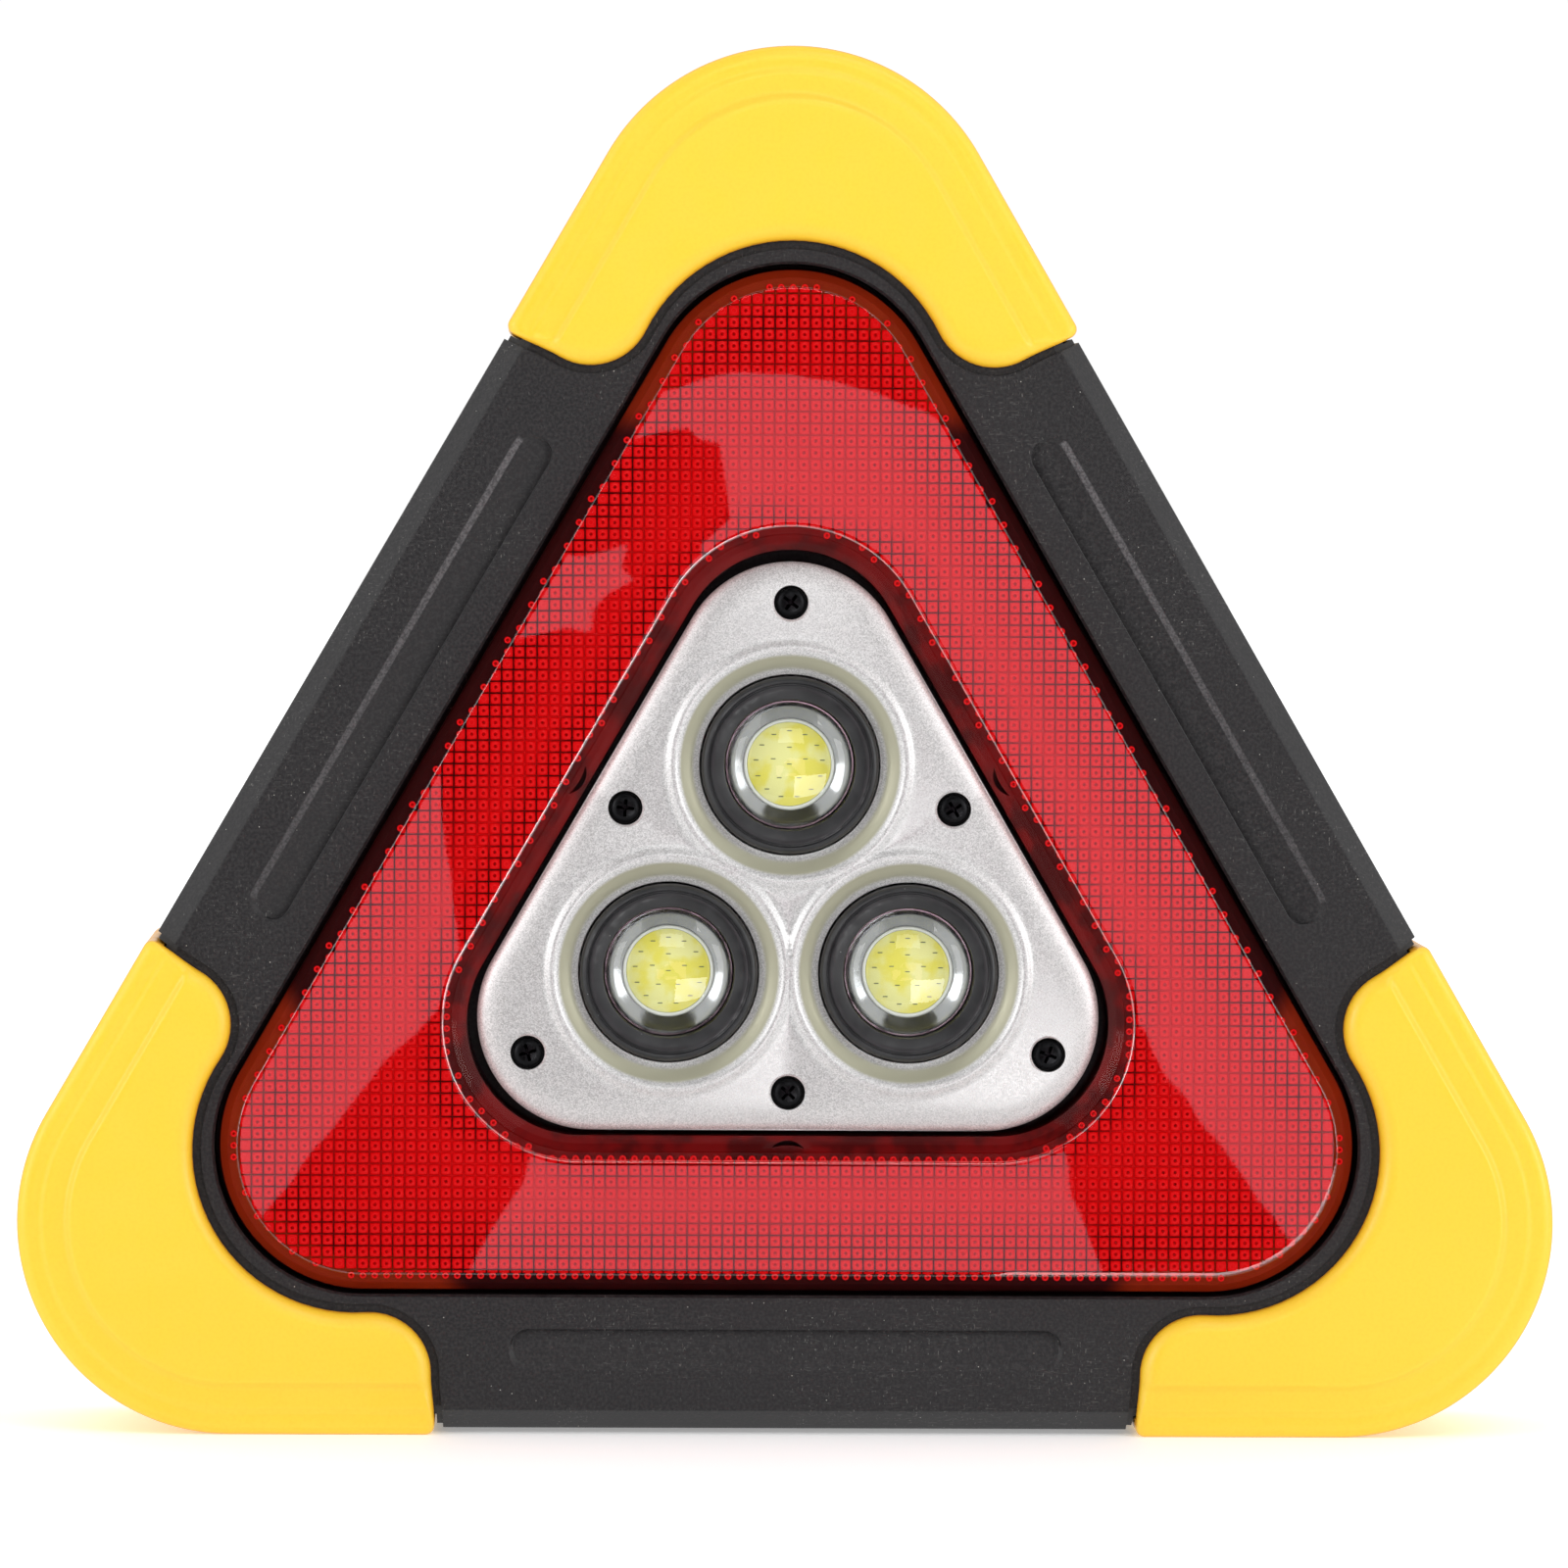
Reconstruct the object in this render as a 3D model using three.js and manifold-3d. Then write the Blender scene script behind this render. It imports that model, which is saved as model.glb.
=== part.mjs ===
// LED warning triangle with a three-lamp work light in the middle and a folding stand behind.
// Millimetres, +Z up, front face towards -Y, origin at the middle of the base.
// Outlines are drawn about the triangle's centre and given an inradius (centre to straight side)
// and a corner radius. A depth is a Y value, so the front of a piece is the smaller number.

import * as THREE from 'three';
import { mergeVertices } from 'three/addons/utils/BufferGeometryUtils.js';
import Module from 'manifold-3d';

const wasm = await Module();
wasm.setup();

// ---------------------------------------------------------------- driving dimensions

const CENTRE_HEIGHT = 69.5; // triangle centre above the base
const GAP = 0.3; // clearance between neighbouring pieces
const WALL = 2.2; // moulded wall thickness
const ARC_STEPS = 8; // segments in each rounded corner
const ROUND_STEPS = 16; // segments round a turned piece
const SMALL_STEPS = 8; // segments round a screw, boss or wire
const THROUGH = 40; // long enough to cut right through the housing

const DEPTH = {
  lensFace: -21.5,
  bezelFace: -20.6,
  guardFace: -20,
  landFace: -18,
  parting: 0,
  coverBack: 14.5,
  guardBack: 14.9,
  handleFront: 14.9,
  handleAxis: 18.2,
  handleBack: 21.5,
};

// A corner radius follows its inradius, so that parallel outlines stay concentric.
const GUARD = { inradius: 69.5, cornerInset: 41.7, endAlongSide: 46.2, footRadius: 8 };
const NOTCH = { radius: 21.2, fromCentre: 64.8 };
const HOUSING = { inradius: 68.9, landEdge: 66.3, cornerInset: 41.7 };
const CORE_INRADIUS = GUARD.inradius - WALL - GAP; // housing under the guards
const CORE = { front: DEPTH.guardFace + WALL + GAP, back: DEPTH.guardBack - WALL - GAP };
const OPENING = { inradius: 51.2, cornerInset: 31.8, floorFront: -10, floorBack: -8.4 };
const LENS = {
  faceOuter: 48.2,
  skirtOuter: 50.9,
  faceInner: 33.4,
  skirtInner: 30.5,
  skirtBottom: -18,
  wall: 2,
  outerInset: 31.7,
  innerInset: 15.6,
};
const BEZEL = { inradius: 29.6, cornerInset: 14.8, back: -17.8 };
const LAMP = { fromCentre: 18, ringRadius: 11.5, lensRadius: 8.2, ledRadius: 6.6, dishRadius: 14.3 };
const LED_BOARD = { inradius: 28.5, cornerInset: 14.8, front: -14.2, back: -12.7 };
const BEZEL_SCREW = { towardCorner: 39.1, towardSide: 24.65, headRadius: 2, shankRadius: 1 };
const REAR_SCREW = {
  towardCorner: 96,
  towardSide: 60,
  headRadius: 2.7,
  headThickness: 1.2,
  shankRadius: 1.2,
  length: 18,
  guardSink: 0.9,
  coverSink: 1.4,
};
const BOSS = { frontRadius: 3.2, rearRadius: 4.5, boardRadius: 2 };
const BATTERY = { height: 45, depth: 2.9, radius: 9.2, length: 65.2 };
const POCKET = { length: 72.6, height: 20.8, floor: -6.6, wall: 1.4 };
const TERMINAL = { thickness: 0.5, front: -4, back: 10, rise: 9.3, end: POCKET.length / 2 - 0.4 };
const LEAD = { x: 35.6, depth: 3, radius: 0.6, holeRadius: 2.2 }; // x and depth over a terminal
const DOOR = { width: 67.4, height: 22.4, thickness: 2 };
const DRIVER = { height: 92, width: 32, tall: 40, front: 5.8, back: 7.4, postInset: 3 };
const BUTTON = { height: 102, radius: 7, flangeRadius: 8.4, flangeThickness: 1, rise: 0.6 };
const USB = { height: 80, width: 9, tall: 3.3, flapWidth: 16, flapTall: 8.5, flapSink: 1 };
const HANDLE = {
  axisHeight: 115,
  outerHalf: 41.5,
  innerHalf: 35.5,
  bottom: 8,
  barTop: 18,
  thickness: 5.6,
  pinRadius: 1.5,
  gripHalf: 24,
};
const LUG = { inner: 42, outer: 46, radius: 3.3 };

const finishes = {
  housing: { color: 0x232224, roughness: 0.55, metalness: 0 },
  guard: { color: 0xf9c81e, roughness: 0.45, metalness: 0 },
  redLens: { color: 0xa30a10, roughness: 0.15, metalness: 0 },
  silver: { color: 0xc2c2c2, roughness: 0.35, metalness: 0.8 },
  ring: { color: 0x1b1b1d, roughness: 0.3, metalness: 0 },
  clear: { color: 0xe9eeee, roughness: 0.05, metalness: 0 },
  phosphor: { color: 0xe6e05a, roughness: 0.6, metalness: 0 },
  board: { color: 0xe8e8e2, roughness: 0.5, metalness: 0 },
  circuit: { color: 0x1d5a34, roughness: 0.5, metalness: 0 },
  blackSteel: { color: 0x151517, roughness: 0.35, metalness: 0.7 },
  steel: { color: 0xb9bbbf, roughness: 0.3, metalness: 1 },
  rubber: { color: 0x18181a, roughness: 0.8, metalness: 0 },
  cell: { color: 0x2f6fb0, roughness: 0.35, metalness: 0 },
  redWire: { color: 0xb01818, roughness: 0.5, metalness: 0 },
  blackWire: { color: 0x141414, roughness: 0.5, metalness: 0 },
};

const group = new THREE.Group();

// ---------------------------------------------------------------- solids and booleans

// A profile or outline drawn the other way round has its faces turned in, so they are turned out.
function toSolid(geometry) {
  const bare = geometry.clone();
  bare.deleteAttribute('normal');
  bare.deleteAttribute('uv');
  const merged = mergeVertices(bare, 1e-4);
  const vertProperties = new Float32Array(merged.attributes.position.array);
  const triVerts = new Uint32Array(merged.index.array);
  const solid = new wasm.Manifold(new wasm.Mesh({ numProp: 3, vertProperties, triVerts }));
  if (solid.volume() > 0) return solid;
  triVerts.reverse();
  return new wasm.Manifold(new wasm.Mesh({ numProp: 3, vertProperties, triVerts }));
}

function toGeometry(solid) {
  const mesh = solid.getMesh();
  const geometry = new THREE.BufferGeometry();
  geometry.setAttribute('position', new THREE.BufferAttribute(mesh.vertProperties, mesh.numProp));
  geometry.setIndex(new THREE.BufferAttribute(mesh.triVerts, 1));
  geometry.computeVertexNormals();
  return geometry;
}

function join(first, ...others) {
  return others.flat().reduce((sum, other) => sum.add(other), first);
}

function cut(first, ...others) {
  return others.flat().reduce((rest, other) => rest.subtract(other), first);
}

function addPiece(name, finish, solid) {
  const mesh = new THREE.Mesh(toGeometry(solid), new THREE.MeshStandardMaterial(finishes[finish]));
  mesh.name = name;
  group.add(mesh);
}

// ---------------------------------------------------------------- outlines in the X-Z plane

const SIDE_ANGLES = [30, 150, 270]; // directions from the centre to the three sides
const CORNERS = { top: 90, left: 210, right: 330 }; // directions to the three corners
const CORNER_ANGLES = Object.values(CORNERS);

function radians(degrees) {
  return (degrees * Math.PI) / 180;
}

// A point at a distance from the triangle's centre.
function polar(degrees, distance) {
  const angle = radians(degrees);
  return new THREE.Vector2(distance * Math.cos(angle), distance * Math.sin(angle));
}

// A point given by its height above the base.
function above(x, height) {
  return new THREE.Vector2(x, height - CENTRE_HEIGHT);
}

function turned(points, degrees) {
  const origin = new THREE.Vector2();
  return points.map((point) => point.clone().rotateAround(origin, radians(degrees)));
}

function rectangle(width, height, middle = new THREE.Vector2()) {
  const corners = [[-1, -1], [1, -1], [1, 1], [-1, 1]];
  return corners.map(
    ([x, y]) => new THREE.Vector2(middle.x + (x * width) / 2, middle.y + (y * height) / 2),
  );
}

// Equilateral triangle with rounded corners, point up.
function roundedTriangle(inradius, cornerInset) {
  const cornerRadius = inradius - cornerInset;
  return CORNER_ANGLES.flatMap((corner) => {
    const middle = polar(corner, 2 * cornerInset);
    return Array.from({ length: ARC_STEPS + 1 }, (_, step) =>
      polar(corner - 60 + (120 * step) / ARC_STEPS, cornerRadius).add(middle),
    );
  });
}

// Outline of the top guard. grow moves every edge outwards, to make the pocket that it sits in.
// across and along are the directions away from the centre and up the right-hand side.
function guardOutline(grow = 0) {
  const inradius = GUARD.inradius + grow;
  const foot = GUARD.footRadius + grow;
  const notch = NOTCH.radius - grow;
  const across = polar(30, 1);
  const along = polar(120, 1);
  const notchCentre = new THREE.Vector2(0, NOTCH.fromCentre);
  const footAlong = GUARD.endAlongSide + GUARD.footRadius;
  const rise = footAlong - notchCentre.dot(along);
  const footAcross = notchCentre.dot(across) + Math.sqrt((notch + foot) ** 2 - rise ** 2);
  const footCentre = across.clone().multiplyScalar(footAcross).addScaledVector(along, footAlong);
  const end = across.clone().multiplyScalar(inradius).addScaledVector(along, footAlong - foot);
  const toFoot = footCentre.clone().sub(notchCentre).angle();
  const cornerRadius = inradius - GUARD.cornerInset;
  const shape = new THREE.Shape();
  shape.absarc(0, 2 * GUARD.cornerInset, cornerRadius, radians(30), radians(150), false);
  shape.lineTo(-end.x, end.y);
  shape.absarc(-footCentre.x, footCentre.y, foot, radians(-120), -toFoot, false);
  shape.absarc(0, NOTCH.fromCentre, notch, Math.PI - toFoot, toFoot, true);
  shape.absarc(footCentre.x, footCentre.y, foot, toFoot - Math.PI, radians(-60), false);
  shape.lineTo(end.x, end.y);
  return shape.getPoints(ARC_STEPS / 2);
}

// The stand: two arms and a bar, drawn from the lower left bend round to the left arm's top.
function handleOutline() {
  const { outerHalf, innerHalf, bottom, barTop, axisHeight } = HANDLE;
  const outerBend = 9;
  const innerBend = 4;
  const low = bottom + outerBend - CENTRE_HEIGHT;
  const inside = barTop + innerBend - CENTRE_HEIGHT;
  const top = axisHeight - CENTRE_HEIGHT;
  const quarter = Math.PI / 2;
  const shape = new THREE.Shape();
  shape.absarc(-outerHalf + outerBend, low, outerBend, 2 * quarter, 3 * quarter, false);
  shape.absarc(outerHalf - outerBend, low, outerBend, 3 * quarter, 4 * quarter, false);
  shape.lineTo(outerHalf, top);
  shape.lineTo(innerHalf, top);
  shape.absarc(innerHalf - innerBend, inside, innerBend, 4 * quarter, 3 * quarter, true);
  shape.absarc(-innerHalf + innerBend, inside, innerBend, 3 * quarter, 2 * quarter, true);
  shape.lineTo(-innerHalf, top);
  shape.lineTo(-outerHalf, top);
  return shape.getPoints(ARC_STEPS / 4);
}

// ---------------------------------------------------------------- basic solids

// A plate of one outline between two depths.
function plate(outline, front, back) {
  const shape = new THREE.Shape(outline);
  const geometry = new THREE.ExtrudeGeometry(shape, { depth: back - front, bevelEnabled: false });
  return toSolid(geometry.rotateX(Math.PI / 2).translate(0, back, CENTRE_HEIGHT));
}

function trianglePlate(inradius, cornerInset, front, back) {
  return plate(roundedTriangle(inradius, cornerInset), front, back);
}

// A rounded triangle whose size changes with depth. Each layer is [depth, inradius], front first.
function taper(layers, cornerInset) {
  const rings = layers.map(([, inradius]) => roundedTriangle(inradius, cornerInset));
  const count = rings[0].length;
  const last = (layers.length - 1) * count;
  const positions = rings.flatMap((ring, layer) =>
    ring.flatMap((point) => [point.x, layers[layer][0], point.y + CENTRE_HEIGHT]),
  );
  const index = [];
  for (let start = 0; start < last; start += count) {
    for (let i = 0; i < count; i += 1) {
      const here = start + i;
      const next = start + ((i + 1) % count);
      index.push(here, next, here + count, next, next + count, here + count);
    }
  }
  for (let i = 1; i < count - 1; i += 1) index.push(0, i + 1, i, last, last + i, last + i + 1);
  const geometry = new THREE.BufferGeometry();
  geometry.setAttribute('position', new THREE.Float32BufferAttribute(positions, 3));
  geometry.setIndex(index);
  return toSolid(geometry);
}

// A piece turned about a front-to-back axis. The profile is a list of [radius, depth].
function lathe(profile, middle, steps = ROUND_STEPS) {
  const points = profile.map(([radius, depth]) => new THREE.Vector2(radius, depth));
  const geometry = new THREE.LatheGeometry(points, steps);
  return toSolid(geometry.translate(middle.x, 0, middle.y + CENTRE_HEIGHT));
}

function rod(radius, front, back, middle, steps = ROUND_STEPS) {
  return lathe([[0, front], [radius, front], [radius, back], [0, back]], middle, steps);
}

// A rod whose axis runs from left to right.
function crossRod(radius, left, right, depth, height, steps = ROUND_STEPS) {
  const geometry = new THREE.CylinderGeometry(radius, radius, right - left, steps);
  return toSolid(geometry.rotateZ(Math.PI / 2).translate((left + right) / 2, depth, height));
}

function block(left, right, front, back, bottom, top) {
  const geometry = new THREE.BoxGeometry(right - left, back - front, top - bottom);
  const middle = [(left + right) / 2, (front + back) / 2, (bottom + top) / 2];
  return toSolid(geometry.translate(...middle));
}

// A round wire along a smooth curve through the given points.
function wire(points, radius, steps) {
  const path = new THREE.CatmullRomCurve3(points.map((point) => new THREE.Vector3(...point)));
  return sweep(path, radius, steps);
}

function sweep(path, radius, steps) {
  const section = new THREE.Shape(
    Array.from({ length: SMALL_STEPS }, (_, i) => polar((360 * i) / SMALL_STEPS, radius)),
  );
  return toSolid(new THREE.ExtrudeGeometry(section, { steps, extrudePath: path }));
}

class CoilCurve extends THREE.Curve {
  constructor(radius, turns, left, right) {
    super();
    Object.assign(this, { radius, turns, left, right });
  }

  getPoint(t) {
    const angle = 2 * Math.PI * this.turns * t;
    const x = this.left + (this.right - this.left) * t;
    const y = BATTERY.depth + this.radius * Math.cos(angle);
    const z = BATTERY.height + this.radius * Math.sin(angle);
    return new THREE.Vector3(x, y, z);
  }
}

// ---------------------------------------------------------------- places that pieces share

const bezelScrews = [
  ...CORNER_ANGLES.map((angle) => polar(angle, BEZEL_SCREW.towardCorner)),
  ...SIDE_ANGLES.map((angle) => polar(angle, BEZEL_SCREW.towardSide)),
];
const cornerScrews = CORNER_ANGLES.map((angle) => polar(angle, REAR_SCREW.towardCorner));
const sideScrews = SIDE_ANGLES.map((angle) => polar(angle, REAR_SCREW.towardSide));
const lamps = CORNER_ANGLES.map((angle) => polar(angle, LAMP.fromCentre));
const driverPosts = rectangle(
  DRIVER.width - 2 * DRIVER.postInset, DRIVER.tall - 2 * DRIVER.postInset, above(0, DRIVER.height),
);
const ledLeadPlace = above(10, 96);
const warningLeadPlace = above(-6, 126);

// The three corners that the guards cover, right through the housing.
function guardZones(grow) {
  const zones = CORNER_ANGLES.map((angle) =>
    plate(turned(guardOutline(grow), angle - CORNERS.top), -THROUGH, THROUGH),
  );
  return join(zones[0], zones.slice(1));
}

// Cuts each corner of a shell back to the core that the guards wrap.
function recessCorners(shell) {
  const core = trianglePlate(CORE_INRADIUS, GUARD.cornerInset, CORE.front, CORE.back);
  return cut(shell, cut(guardZones(GAP), core));
}

// The space inside both shells, one wall in from the sides and from the cores.
function shellHollow(front, back, coreFront, coreBack) {
  const side = trianglePlate(HOUSING.inradius - WALL, HOUSING.cornerInset, front, back);
  const core = trianglePlate(CORE_INRADIUS - WALL, HOUSING.cornerInset, coreFront, coreBack);
  return join(cut(side, guardZones(WALL + GAP)), core);
}

// ---------------------------------------------------------------- housing

function frontFrame() {
  const back = DEPTH.parting - GAP / 2;
  const land = DEPTH.landFace;
  const shelf = CORE.front + WALL;
  const edge = [[land, HOUSING.landEdge], [land + 3, HOUSING.inradius], [back, HOUSING.inradius]];
  const shell = cut(
    recessCorners(taper(edge, HOUSING.cornerInset)),
    shellHollow(shelf, THROUGH, shelf, THROUGH),
  );
  const { inradius, cornerInset, floorFront, floorBack } = OPENING;
  const tray = trianglePlate(inradius + WALL, cornerInset, shelf - 1, floorBack);
  const well = trianglePlate(inradius, cornerInset, -THROUGH, floorFront);
  const bezelBosses = bezelScrews.map((place) =>
    rod(BOSS.frontRadius, LED_BOARD.back + GAP, floorFront + 1, place, SMALL_STEPS),
  );
  const rearBosses = [...cornerScrews, ...sideScrews].map((place) =>
    rod(BOSS.frontRadius, shelf - 1, back, place, SMALL_STEPS),
  );
  const bezelPilots = bezelScrews.map((place) =>
    rod(BEZEL_SCREW.shankRadius + GAP, LED_BOARD.back, THROUGH, place, SMALL_STEPS),
  );
  const rearPilots = [...cornerScrews, ...sideScrews].map((place) =>
    rod(REAR_SCREW.shankRadius + GAP, shelf + 1, THROUGH, place, SMALL_STEPS),
  );
  const leadHoles = [ledLeadPlace, warningLeadPlace].map((place) =>
    rod(LEAD.holeRadius, floorFront - 1, THROUGH, place, SMALL_STEPS),
  );
  const withTray = join(cut(join(shell, tray), well), bezelBosses, rearBosses);
  addPiece('front_frame', 'housing', cut(withTray, bezelPilots, rearPilots, leadHoles));
}

function cornerGuards() {
  const { guardFace, guardBack } = DEPTH;
  const { inradius, cornerInset } = GUARD;
  const edge = [
    [guardFace, inradius - WALL],
    [guardFace + WALL, inradius],
    [guardBack - WALL, inradius],
    [guardBack, inradius - WALL],
  ];
  const inside = trianglePlate(inradius - WALL, cornerInset, guardFace + WALL, guardBack - WALL);
  const cap = cut(taper(edge, cornerInset), inside);
  Object.entries(CORNERS).forEach(([name, angle], corner) => {
    const zone = plate(turned(guardOutline(), angle - CORNERS.top), guardFace, guardBack);
    const sink = guardBack - REAR_SCREW.guardSink - GAP;
    const head = rod(REAR_SCREW.headRadius + GAP, sink, THROUGH, cornerScrews[corner]);
    const shank = rod(REAR_SCREW.shankRadius + GAP, 0, THROUGH, cornerScrews[corner]);
    addPiece(`corner_guard_${name}`, 'guard', cut(zone.intersect(cap), head, shank));
  });
}

function rearCover() {
  const { coverBack } = DEPTH;
  const front = DEPTH.parting + GAP / 2;
  const inner = coverBack - WALL;
  const coreInner = CORE.back - WALL;
  const edge = [
    [front, HOUSING.inradius],
    [coverBack - 2.6, HOUSING.inradius],
    [coverBack, HOUSING.landEdge],
  ];
  const shell = cut(
    recessCorners(taper(edge, HOUSING.cornerInset)),
    shellHollow(-THROUGH, inner, -THROUGH, coreInner),
  );
  const bosses = [
    ...cornerScrews.map((place) => rod(BOSS.rearRadius, front, coreInner + 1, place, SMALL_STEPS)),
    ...sideScrews.map((place) => rod(BOSS.rearRadius, front, inner + 1, place, SMALL_STEPS)),
    ...driverPosts.map((place) =>
      rod(BOSS.boardRadius, DRIVER.back + GAP, inner + 1, place, SMALL_STEPS),
    ),
  ];
  const sink = coverBack - REAR_SCREW.coverSink - GAP;
  const screwHoles = [
    ...[...cornerScrews, ...sideScrews].map((place) =>
      rod(REAR_SCREW.shankRadius + GAP, -THROUGH, THROUGH, place, SMALL_STEPS),
    ),
    ...sideScrews.map((place) => rod(REAR_SCREW.headRadius + GAP, sink, THROUGH, place)),
  ];
  const fittings = [batteryPocket(inner), ...lugs()];
  const openings = [
    batteryPocketInside(inner),
    rod(BUTTON.radius + GAP, 0, THROUGH, above(0, BUTTON.height)),
    usbRecess(),
  ];
  addPiece('rear_cover', 'housing', cut(join(shell, bosses, fittings), openings, screwHoles));
}

function batteryPocket(back) {
  const { length, height, floor, wall } = POCKET;
  const half = length / 2 + wall;
  const rise = height / 2 + wall;
  return block(-half, half, floor - wall, back + 0.5, BATTERY.height - rise, BATTERY.height + rise);
}

// The compartment, the door's opening in the skin and the two holes that the leads pass.
function batteryPocketInside(back) {
  const { length, height, floor } = POCKET;
  const { height: middle } = BATTERY;
  const inside = block(
    -length / 2, length / 2, floor, back, middle - height / 2, middle + height / 2,
  );
  const doorHalf = DOOR.width / 2 + GAP;
  const doorRise = DOOR.height / 2 + GAP;
  const doorDepth = DEPTH.coverBack - DOOR.thickness - GAP;
  const mouth = block(
    -doorHalf, doorHalf, doorDepth, THROUGH, middle - doorRise, middle + doorRise,
  );
  const leadHoles = [-1, 1].map((side) => {
    const x = side * LEAD.x;
    return block(x - 1, x + 1, LEAD.depth - 1, LEAD.depth + 1, middle, middle + height);
  });
  return join(inside, mouth, leadHoles);
}

function lugs() {
  const { axisHeight } = HANDLE;
  const { handleAxis, coverBack } = DEPTH;
  return [-1, 1].map((side) => {
    const left = Math.min(side * LUG.inner, side * LUG.outer);
    const right = Math.max(side * LUG.inner, side * LUG.outer);
    const eye = crossRod(LUG.radius, left, right, handleAxis, axisHeight);
    const foot = block(
      left, right, coverBack - 1, handleAxis, axisHeight - LUG.radius, axisHeight + LUG.radius,
    );
    const bore = crossRod(HANDLE.pinRadius + GAP, left - 1, right + 1, handleAxis, axisHeight);
    return cut(join(eye, foot), bore);
  });
}

function usbRecess() {
  const place = above(0, USB.height);
  const flap = rectangle(USB.flapWidth + 2 * GAP, USB.flapTall + 2 * GAP, place);
  const slot = rectangle(USB.width + 2 * GAP, USB.tall + 2 * GAP, place);
  const seat = DEPTH.coverBack - USB.flapSink - GAP;
  return join(plate(flap, seat, THROUGH), plate(slot, 0, THROUGH));
}

function rearScrews() {
  const { headRadius, headThickness, shankRadius, length, guardSink, coverSink } = REAR_SCREW;
  [...cornerScrews, ...sideScrews].forEach((place, i) => {
    const isCorner = i < cornerScrews.length;
    const under = isCorner ? DEPTH.guardBack - guardSink : DEPTH.coverBack - coverSink;
    const profile = [
      [0, under + headThickness],
      [headRadius, under + headThickness],
      [headRadius, under],
      [shankRadius, under],
      [shankRadius, under - length],
      [0, under - length],
    ];
    addPiece(`rear_screw_${i + 1}`, 'steel', lathe(profile, place, SMALL_STEPS));
  });
}

// ---------------------------------------------------------------- red lens and its LEDs

function redLens() {
  const { faceOuter, skirtOuter, faceInner, skirtInner, skirtBottom, wall } = LENS;
  const face = DEPTH.lensFace;
  const back = OPENING.floorFront - GAP;
  const outside = taper(
    [[face, faceOuter], [skirtBottom, skirtOuter], [back, skirtOuter]],
    LENS.outerInset,
  );
  const hole = taper(
    [[face - 0.1, faceInner + 0.1], [face, faceInner], [skirtBottom, skirtInner], [THROUGH, skirtInner]],
    LENS.innerInset,
  );
  const underFace = face + wall;
  const channelOutside = taper(
    [[underFace, faceOuter - wall / 2], [skirtBottom + 1, skirtOuter - wall], [THROUGH, skirtOuter - wall]],
    LENS.outerInset,
  );
  const channelInside = taper(
    [[face, faceInner + wall / 2], [skirtBottom + 1, skirtInner + wall], [THROUGH, skirtInner + wall]],
    LENS.innerInset,
  );
  addPiece('red_lens', 'redLens', cut(outside, hole, cut(channelOutside, channelInside)));
}

function warningLights() {
  const front = -11.9;
  const back = OPENING.floorFront - GAP;
  const clear = LENS.wall + 0.5;
  const outline = trianglePlate(LENS.skirtOuter - clear, LENS.outerInset, front, back);
  const middle = trianglePlate(LENS.skirtInner + clear, LENS.innerInset, -THROUGH, THROUGH);
  addPiece('warning_board', 'board', cut(outline, middle));
  const fromCentre = (LENS.faceOuter + LENS.faceInner) / 2;
  const spacing = 28;
  const led = { width: 2.8, length: 3.5, height: 1.7 };
  SIDE_ANGLES.forEach((angle, side) => {
    [-1, 0, 1].forEach((step, i) => {
      const place = new THREE.Vector2(fromCentre, step * spacing);
      const body = turned(rectangle(led.width, led.length, place), angle);
      const solid = plate(body, front - GAP - led.height, front - GAP);
      addPiece(`warning_led_${side * 3 + i + 1}`, 'phosphor', solid);
    });
  });
}

// ---------------------------------------------------------------- centre plate and lamps

function reflectorBezel() {
  const { inradius, cornerInset, back } = BEZEL;
  const face = DEPTH.bezelFace;
  const dome = [
    [face, inradius - 4],
    [face + 0.5, inradius - 1.8],
    [face + 1.5, inradius - 0.4],
    [back, inradius],
  ];
  const hole = LAMP.ringRadius + GAP;
  const postBottom = LED_BOARD.front - GAP;
  const posts = bezelScrews.map((place) =>
    rod(BOSS.frontRadius, back - 0.5, postBottom, place, SMALL_STEPS),
  );
  const lampHoles = lamps.map((place) => {
    const dish = [
      [0, face - 1],
      [LAMP.dishRadius + 1, face - 1],
      [LAMP.dishRadius, face],
      [hole, face + 1],
      [hole, THROUGH],
      [0, THROUGH],
    ];
    return lathe(dish, place);
  });
  const screwHoles = bezelScrews.flatMap((place) => [
    rod(BEZEL_SCREW.headRadius + GAP, -THROUGH, back + 0.8, place, SMALL_STEPS),
    rod(BEZEL_SCREW.shankRadius + GAP, -THROUGH, THROUGH, place, SMALL_STEPS),
  ]);
  const body = join(taper(dome, cornerInset), posts);
  addPiece('reflector_bezel', 'silver', cut(body, lampHoles, screwHoles));
}

function bezelScrewPieces() {
  const { headRadius, shankRadius } = BEZEL_SCREW;
  const under = BEZEL.back + 0.5;
  const top = under - 1.9;
  const end = OPENING.floorFront + 1;
  const profile = [
    [0, top],
    [headRadius, top],
    [headRadius, under],
    [shankRadius, under],
    [shankRadius, end],
    [0, end],
  ];
  bezelScrews.forEach((place, i) => {
    addPiece(`bezel_screw_${i + 1}`, 'blackSteel', lathe(profile, place, SMALL_STEPS));
  });
}

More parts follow.
